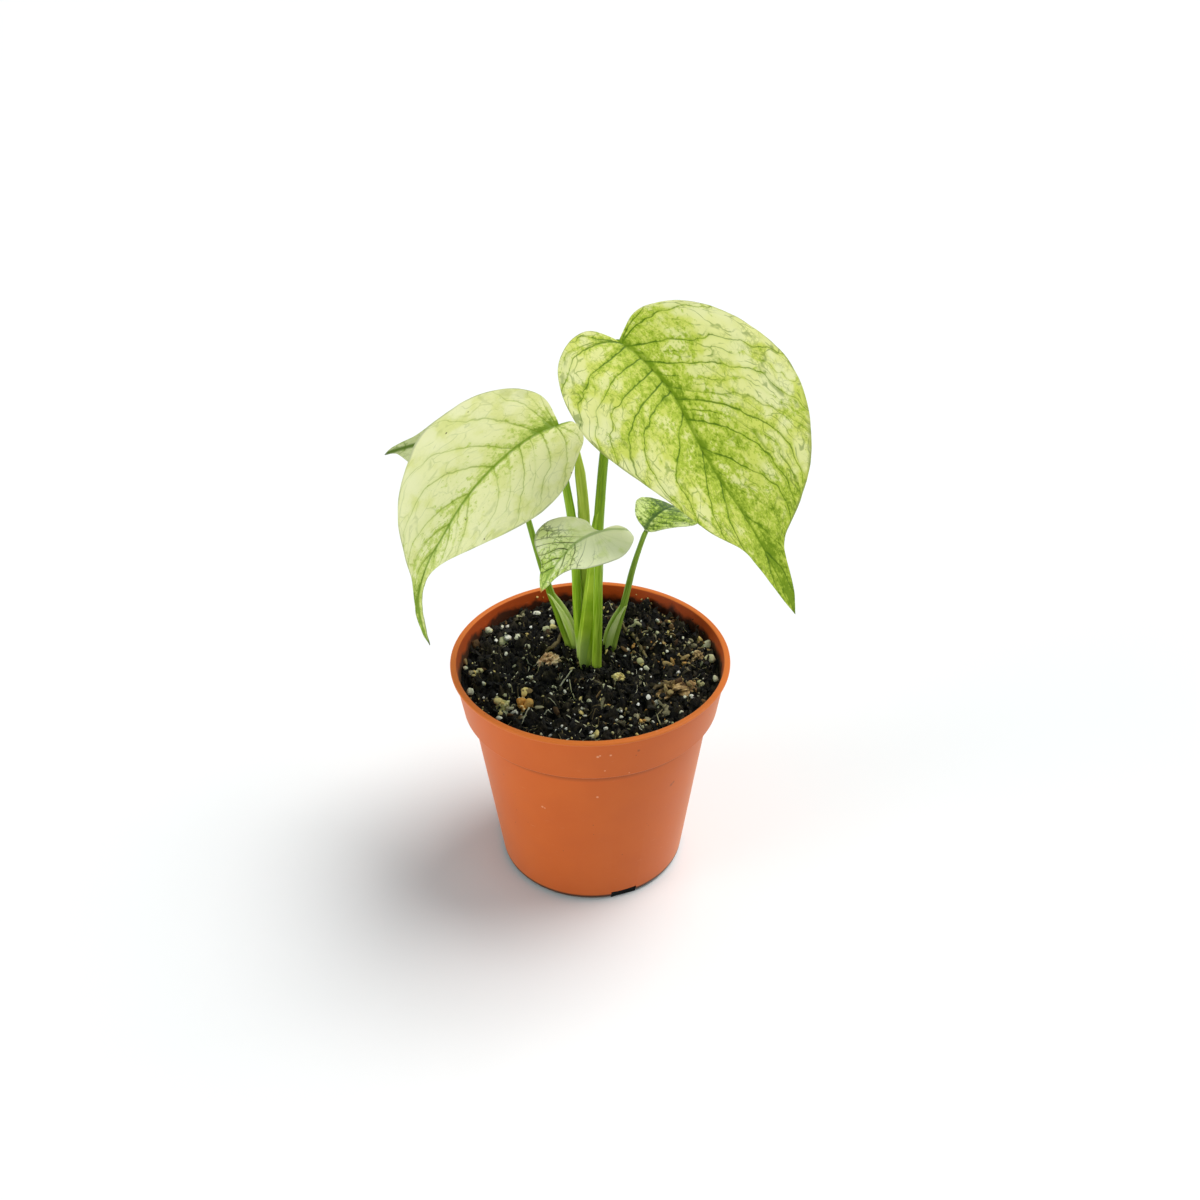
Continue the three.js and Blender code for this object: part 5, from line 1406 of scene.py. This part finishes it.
# %% Blade material
SPOT_BROWN = "#5E5A34"
PLAIN_LOOK = {
    # green in all, how streaky and patchy it is, how far the clouds follow it, pale edge, cream patches
    "green": 0.0, "streaky": 0.25, "patchy": 0.45, "clouded": 0.5, "pale_edge": 0.0, "cream": 0.5,
    # green near the midrib and towards the tip in each half, where the tip's starts and ends, and how much
    # there is at the foot of the right half
    "near_left": 0.3, "near_right": 0.2, "near_tip": 1.0, "tip_left": 0.3, "tip_right": 0.3,
    "tip_from": 0.5, "tip_to": 1.0, "blush": 0.0,
    # main veins, side veins, net and fine net, what the main and the fine ones gain towards the tip, and
    # between which shares of the length they gain it
    "main": 0.8, "side": 0.6, "net": 0.4, "fine": 0.2, "main_tip": 0.0, "fine_tip": 0.2,
    "line_from": 0.5, "line_to": 1.0,
    # how much the veins fade outwards, how far they stray, and how green it is round them
    "fade": 0.25, "wander": 1.0, "halo": 0.14,
    # the midrib's dark line: strength, widths in mm at the foot and the tip, share in the right half
    "rib": 0.8, "rib_wide": 2.4, "rib_thin": 1.0, "rib_right": 0.4,
    # dark specks, brown spots, and where the dry tip starts
    "speck": 0.4, "spots": 0.0, "dry_from": 0.965,
}


def blade_material(name, length, colours, changes):
    """colours: cream, ground, cloud, fleck, deep, vein, edge and tip. changes are this blade's own values for
    some of PLAIN_LOOK."""
    look = {**PLAIN_LOOK, **changes}
    tones = {label: linear(colour) for label, colour in colours.items()}
    material, tree = new_material(name)
    at = blade_places(tree, length)
    blade_veins(tree, at, look)
    blade_greens(tree, at, look)

    dark_start = add(tree, "MapRange", [at["share"], look["line_from"], look["line_to"]], **SMOOTH)
    drawn = []
    for kind in ("fine", "main"):
        strength = add(tree, "Math", [dark_start, look[kind + "_tip"], look[kind]], **TIMES_PLUS)
        drawn.append(add(tree, "Math", [at[kind], strength], **TIMES))
    for kind in ("net", "side"):
        drawn.append(add(tree, "Math", [at[kind], look[kind]], **TIMES))
    fine, main, net, side = drawn
    thin = add(tree, "Math", [net, fine], **LARGER)
    thick = add(tree, "Math", [main, side], **LARGER)
    outer = add(tree, "MapRange", [at["out"], 0.5, 1.0], **SMOOTH)
    thin_tone = add(tree, "Mix", {0: outer, 6: tones["deep"], 7: tones["vein"]}, **RGBA)
    around = add(tree, "Math", [at["halo"], 3.0], **TIMES)
    rib_width = add(tree, "MapRange", [at["share"], 0.0, 0.9, look["rib_wide"], look["rib_thin"]], **SMOOTH)
    rib_width = add(tree, "Math", [rib_width, at["rib_half"]], **TIMES)
    rib = add(tree, "Math", [at["beside"], rib_width], **DIVIDED)
    rib = add(tree, "MapRange", [rib, 0.2, 1.0, look["rib"], 0.0], **SMOOTH)
    edge = add(tree, "MapRange", [at["out"], 0.975, 0.995], **SMOOTH)
    edge_gaps = add(tree, "MapRange", [at["edge_gaps"], 0.4, 0.6, 0.3, 0.8], **SMOOTH)
    edge = add(tree, "Math", [edge, edge_gaps], **TIMES)
    dry = add(tree, "MapRange", [at["share"], look["dry_from"], 1.0, 0.0, 0.9], **SMOOTH)
    colour = tones["ground"]
    for strength, tone in [(at["creamy"], tones["cream"]), (at["clouds"], tones["cloud"]),
                           (at["flecked"], tones["fleck"]), (around, tones["fleck"]),
                           (at["specks"], tones["deep"]), (at["deep"], tones["deep"]), (thin, thin_tone),
                           (thick, tones["vein"]), (rib, tones["deep"]), (edge, tones["edge"]),
                           (at["spots"], linear(SPOT_BROWN)), (dry, tones["tip"])]:
        colour = add(tree, "Mix", {0: strength, 6: colour, 7: tone}, **RGBA)

    sunk = add(tree, "Math", [at["main_halo"], 0.8], **TIMES)
    for line in (thin, thick):
        sunk = add(tree, "Math", [sunk, line], **LARGER)
    height = add(tree, "Math", [at["skin"], 0.3], **TIMES)
    height = add(tree, "Math", [height, sunk], **MINUS)
    bump = add(tree, "Bump", {"Height": height, "Strength": 0.35, "Distance": 0.2 * MM})
    shader = add(tree, "BsdfPrincipled", {"Base Color": colour, "Roughness": 0.45, "IOR": 1.45,
                                          "Specular IOR Level": 0.25, "Normal": bump})
    add(tree, "OutputMaterial", {"Surface": shader})
    return material


# %% [markdown]
# Each blade has its own colouring. The two large ones are pale, cream and yellow-green, and the small
# front one is the palest, with dark lines towards its orange tip. The two small side blades, which
# hang in the shade of the others, are greener and greyer.

# %% Colours of the five blades
BLADE_LOOKS = {
    "large_right": (
        {"cream": "#EEEFBE", "ground": "#E6E896", "cloud": "#D4DC66", "fleck": "#B0C638", "deep": "#6C8C00",
         "vein": "#466C00", "edge": "#8C9650", "tip": "#5C7410"},
        {"clouded": 1.5, "streaky": 0.1, "main": 0.85, "net": 0.55, "fine": 0.25, "speck": 0.5,
         "pale_edge": 0.08, "tip_left": 0.26, "tip_right": 0.16, "tip_from": 0.48, "tip_to": 0.95,
         "near_tip": 0.4, "rib": 0.65, "rib_wide": 2.7, "rib_thin": 0.7, "rib_right": 0.3, "spots": 0.3}),
    "large_left": (
        {"cream": "#EEEEC2", "ground": "#E8E9AC", "cloud": "#DEE194", "fleck": "#BCCD5C", "deep": "#6A8C0A",
         "vein": "#7A9022", "edge": "#A9B184", "tip": "#5E6A3A"},
        {"green": -0.12, "wander": 0.6, "main": 0.65, "side": 0.42, "net": 0.22, "fine": 0.05,
         "fine_tip": 0.1, "speck": 0.25, "fade": 0.6, "near_left": 0.25, "near_right": 0.28,
         "tip_left": 0.06, "tip_right": 0.18, "tip_from": 0.6, "tip_to": 0.95, "rib_wide": 1.2,
         "rib_thin": 0.6, "rib_right": 0.6, "blush": 0.3, "spots": 0.9, "halo": 0.15, "patchy": 0.15}),
    "small_left": (
        {"cream": "#C8CE9E", "ground": "#BCC48E", "cloud": "#A6B070", "fleck": "#95AA58", "deep": "#4C6616",
         "vein": "#55701E", "edge": "#AEB58C", "tip": "#5E6040"},
        {"green": -0.06, "main": 0.6, "side": 0.4, "near_left": 0.12, "near_right": 0.12, "tip_left": 0.0,
         "tip_right": 0.0, "rib": 0.95, "rib_wide": 2.6, "rib_thin": 1.8, "rib_right": 0.8}),
    "small_front": (
        {"cream": "#EEF2C8", "ground": "#ECF0C0", "cloud": "#DCE69C", "fleck": "#B4CE50", "deep": "#74982C",
         "vein": "#3A5014", "edge": "#A9B088", "tip": "#D06C14"},
        {"green": -0.2, "main": 0.04, "main_tip": 0.9, "line_from": 0.14, "line_to": 0.42, "side": 0.1,
         "net": 0.05, "fine": 0.0, "fine_tip": 0.6, "wander": 0.8, "speck": 0.2, "fade": 0.4,
         "near_left": 0.06, "near_right": 0.14, "tip_from": 0.16, "tip_to": 0.9, "rib": 0.6,
         "rib_wide": 1.2, "rib_thin": 0.5, "rib_right": 1.0, "halo": 0.04, "patchy": 0.1,
         "dry_from": 0.93}),
    "small_right": (
        {"cream": "#D4E0A4", "ground": "#CEDE8C", "cloud": "#B2CA58", "fleck": "#7E9E1E", "deep": "#345406",
         "vein": "#2C4606", "edge": "#C0CA98", "tip": "#5E6A2A"},
        {"streaky": 0.08, "main": 0.6, "side": 0.3, "net": 0.8, "fine": 0.7, "speck": 0.8, "patchy": 0.8,
         "pale_edge": 0.16, "near_right": 0.04, "tip_left": 0.1, "tip_right": 0.0, "rib": 0.85,
         "rib_thin": 1.2, "halo": 0.1}),
}
for name, leaf in LEAVES.items():
    blade = blade_piece("blade_" + name + "_skin", leaf)
    skin = blade_material("living_blade_" + name, leaf["length"], *BLADE_LOOKS[name])
    settle(blade, skin, "mint_blade", "blade_" + name)

# %% [markdown]
# ## Stalks, sheaths and the rolled leaf
#
# A stalk is a round, juicy rod that stands up from the mix, leans out, and turns over a knee into the
# leaf's midrib. Low down some stalks widen into a sheath, a thin gutter of pale skin that wraps the next
# shoot. A sheath runs between two shares of its stalk's path, with its own greens and its own pale rim.

# %% Stalk paths
STALK_END = 0.9
ROOT_DEPTH = 12
STALKS = {
    "large_right": {
        "points": [(-1.2, 4.5, 98), (1.5, 5.2, 115), (3.4, 6, 138), (3.9, 6.6, 164), (5, 7.6, 180),
                   (6.4, 8, 196), (8.4, 8, 211), (10, 6.4, 227)],
        "radii": [1.7, 2, 2.1, 2.1, 2, 1.9, 1.8, 1.8], "knee": (1.5, 4.9),
        "sheath": {"from": 0.05, "to": 0.48, "width": 5.6, "towards": (-1, -0.3, 0), "fullest": 0.66,
                   "margin": 0.0, "colours": ("#7AA602", "#B6D23C", "#B4CC70")}},
    "large_left": {
        "points": [(-4.3, 6.5, 98), (-5.3, 7.5, 119), (-5.7, 8, 143), (-7.1, 9, 167), (-8.2, 9.8, 175),
                   (-9.6, 10.5, 184), (-11.2, 10.4, 196)],
        "radii": [1.5, 1.8, 1.9, 1.9, 1.8, 1.7, 1.6], "knee": (2, 4)},
    "small_left": {
        "points": [(-8.4, 15.7, 95), (-13.1, 16.5, 112.5), (-18.1, 17.5, 129.4), (-22.1, 18.5, 145.3),
                   (-25.4, 19.5, 159.7), (-30, 21, 178.5), (-33, 21.6, 190)],
        "radii": [2.1, 1.9, 1.6, 1.4, 1.3, 1.2, 1.1], "knee": (1.4, 2.8),
        "sheath": {"from": 0.04, "to": 0.31, "width": 5, "towards": (1, -0.35, 0), "fullest": 1.2,
                   "margin": 0.3, "colours": ("#A0C43C", "#DEE8A4", "#98BC38")}},
    "small_front": {
        "points": [(2.7, 1.6, 98), (3.1, 0, 112.4), (3.5, -5, 135.9), (3.7, -9.5, 153.1),
                   (3.8, -14.5, 166.5)],
        "radii": [2.1, 2.0, 1.9, 1.7, 1.3], "knee": (1.6, 2.6)},
    "small_right": {
        "points": [(9.5, 15.8, 95), (12.3, 15.8, 109.5), (15.5, 16, 124), (18.3, 16, 137.7),
                   (21.2, 15.4, 149)],
        "radii": [1.7, 1.6, 1.5, 1.3, 1.1], "knee": (1.4, 2.4),
        "sheath": {"from": 0.05, "to": 0.39, "width": 4.6, "towards": (-1, -0.35, 0), "fullest": 1.1,
                   "margin": 0.3, "colours": ("#A0C43C", "#DEE8A4", "#98BC38")}},
}
SIDE = np.array([1.0, 0, 0])


def stalk_path(name, per_span=12):
    """The stalk's path and radii: out of the mix, over its knee, and on below the midrib."""
    stalk, leaf = STALKS[name], LEAVES[name]
    centre, tangent, _, normal = leaf_frame(leaf, 0.0)
    back, drop = stalk["knee"]
    x, y, z = stalk["points"][0]
    under = [centre - tangent * back - normal * drop, centre + tangent * back - normal * (STALK_END + GAP)]
    points = [(x, y, z - ROOT_DEPTH), *stalk["points"], *under]
    path = smooth_line(points, per_span, power=0.5)
    radii = [stalk["radii"][0], *stalk["radii"], stalk["radii"][-1], STALK_END]
    knots = np.linspace(0, 1, len(radii))
    return path, np.interp(np.linspace(0, 1, len(path)), knots, radii)


# %% [markdown]
# Fresh stalks are smooth and waxy, darker on their shaded side, with pale lengthwise lines where the
# strands run under the skin, and whitish at the foot. The sheath's thin edge dries to a pale rim.

# %% Stalk material
STRAND = 0.7
DRY_RIM = "#DEE8A8"


def stalk_material(name, dark, light, foot, margin=0.0):
    """Lengthwise strands between a dark and a light green, paling towards the foot. margin is how white the
    two long edges of a sheath are, which lie where the place round the rod is 0 or 1."""
    material, tree = new_material(name)
    rod = add(tree, "Attribute", attribute_name="rod_map").outputs["Vector"]
    around, travelled, _ = add(tree, "SeparateXYZ", [rod]).outputs
    thin = add(tree, "Mapping", {"Vector": rod, "Scale": (6.0, 0.5, 0.0)})
    strand = add(tree, "TexNoise", {"Vector": thin, "Scale": 1 / STRAND, "Detail": 4.0})
    band = add(tree, "MapRange", [strand, 0.32, 0.7])
    low = add(tree, "MapRange", [travelled, 1.2, 2.6, 0.75, 0.0], **SMOOTH)
    off_middle = add(tree, "Math", [around, 0.5], **MINUS)
    off_middle = add(tree, "Math", [off_middle], operation="ABSOLUTE")
    at_edge = add(tree, "MapRange", [off_middle, 0.47, 0.5, 0.0, margin])
    colour = linear(dark)
    for share, tone in [(band, light), (low, foot), (at_edge, DRY_RIM)]:
        colour = add(tree, "Mix", {0: share, 6: colour, 7: linear(tone)}, **RGBA)
    bump = add(tree, "Bump", {"Height": strand, "Strength": 0.25, "Distance": 0.2 * MM})
    shader = add(tree, "BsdfPrincipled", {"Base Color": colour, "Roughness": 0.38, "IOR": 1.45,
                                          "Specular IOR Level": 0.25, "Normal": bump})
    add(tree, "OutputMaterial", {"Surface": shader})
    return material


STALK_COLOURS = {
    "large_right": ("#6A9000", "#8EB012", "#BCD25C"),
    "large_left": ("#76A404", "#AACA3A", "#D6E0B0"),
    "small_left": ("#5C8002", "#8AAC2C", "#B4CC58"),
    "small_front": ("#6C9402", "#A4C442", "#A8C83C"),
    "small_right": ("#6C9014", "#A0BC50", "#B4CC58"),
}

# %% Stalks and their sheaths
SHEATH_COLUMNS = 14
SHEATH_ROWS = 40
SHEATH_THICKNESS = 0.45
SHEATH_OPENING = 1.9
SHEATH_HUG = 1.08
SHEATH_INNER = 0.78


def sheath_rings(radii, widths):
    """Gutter sections: a parabola round the stalk, x = (width + r) v v - r and y = opening v, there and
    back with a thin wall between."""
    v = np.linspace(-1, 1, SHEATH_COLUMNS)
    outer = np.stack([(widths + radii)[:, None] * v**2 - radii[:, None] * SHEATH_HUG,
                      SHEATH_OPENING * np.broadcast_to(v, (len(radii), SHEATH_COLUMNS))], -1)
    inner = outer[:, ::-1] * (1, SHEATH_INNER) + (SHEATH_THICKNESS, 0)
    return np.concatenate([outer, inner], axis=1)


for name, stalk in STALKS.items():
    path, radii = stalk_path(name)
    body = carried(path, SIDE, round_rings(radii))
    rod = new_piece("stalk_" + name + "_skin", body, grid_faces(*body.shape[:2], wrap=True),
                    {"rod_map": rod_values(body)})
    settle(rod, stalk_material("juicy_stalk_" + name, *STALK_COLOURS[name]), "stalk", "stalk_" + name)
    if "sheath" not in stalk:
        continue
    sheath = stalk["sheath"]
    share = np.linspace(sheath["from"], sheath["to"], SHEATH_ROWS)
    steps = np.arange(len(path))
    place = share * steps[-1]
    centres = np.stack([np.interp(place, steps, path[:, i]) for i in range(3)], -1)
    rise = (share - sheath["from"]) / (sheath["to"] - sheath["from"])
    widths = sheath["width"] * np.sin(np.pi * rise ** sheath["fullest"])
    towards = np.array(sheath["towards"], float)
    rings = sheath_rings(np.interp(place, steps, radii), widths)
    gutter = carried(centres, towards / np.linalg.norm(towards), rings)
    wrap = new_piece("sheath_" + name, gutter, grid_faces(*gutter.shape[:2], wrap=True),
                     {"rod_map": rod_values(gutter)})
    skin = stalk_material("sheath_" + name, *sheath["colours"], margin=sheath["margin"])
    settle(wrap, skin, "stalk")

# %% [markdown]
# The youngest leaf is still rolled up. Its section is a spiral: the radius grows a little with the
# angle and steps back at the free edge, and the step winds slowly up the spear.

# %% Rolled leaf
SPEAR_POINTS = [(-1.6, 10.3, 86), (-1.7, 10.3, 128), (-1.8, 10.3, 147), (-2, 10.4, 167),
                (-3.4, 10.7, 186), (-4.7, 11, 200)]
SPEAR_RADII = [1.2, 2, 2.3, 2.5, 2.3, 0.5]
SPEAR_SIDES = 40
SPEAR_FLAT = 0.9
SPEAR_TURNS = 0.6
FREE_EDGE_AT = 0.15
EDGE_STEP = 0.14
spear_path = smooth_line(SPEAR_POINTS, 16, power=0.5)
spear_share = np.linspace(0, 1, len(spear_path))
spear_radii = np.interp(spear_share, np.linspace(0, 1, len(SPEAR_RADII)), SPEAR_RADII)
spear_rings = round_rings(spear_radii, sides=SPEAR_SIDES, flat=SPEAR_FLAT)
turn_share = np.linspace(0, 1, SPEAR_SIDES, endpoint=False)[None]
spiral = (turn_share + SPEAR_TURNS * spear_share[:, None] + FREE_EDGE_AT) % 1
spear_rings = spear_rings * (0.9 + EDGE_STEP * spiral)[..., None]
spear_body = carried(spear_path, SIDE, spear_rings)
spear = new_piece("rolled_leaf", spear_body, grid_faces(*spear_body.shape[:2], wrap=True),
                  {"rod_map": rod_values(spear_body)})
rolled_skin = stalk_material("rolled_young_leaf", "#A2BC24", "#C6D65C", "#D8E2A8")
settle(spear, rolled_skin, "new_leaf", "new_leaf_spear")

# %% Update the scene
bpy.context.view_layer.update()
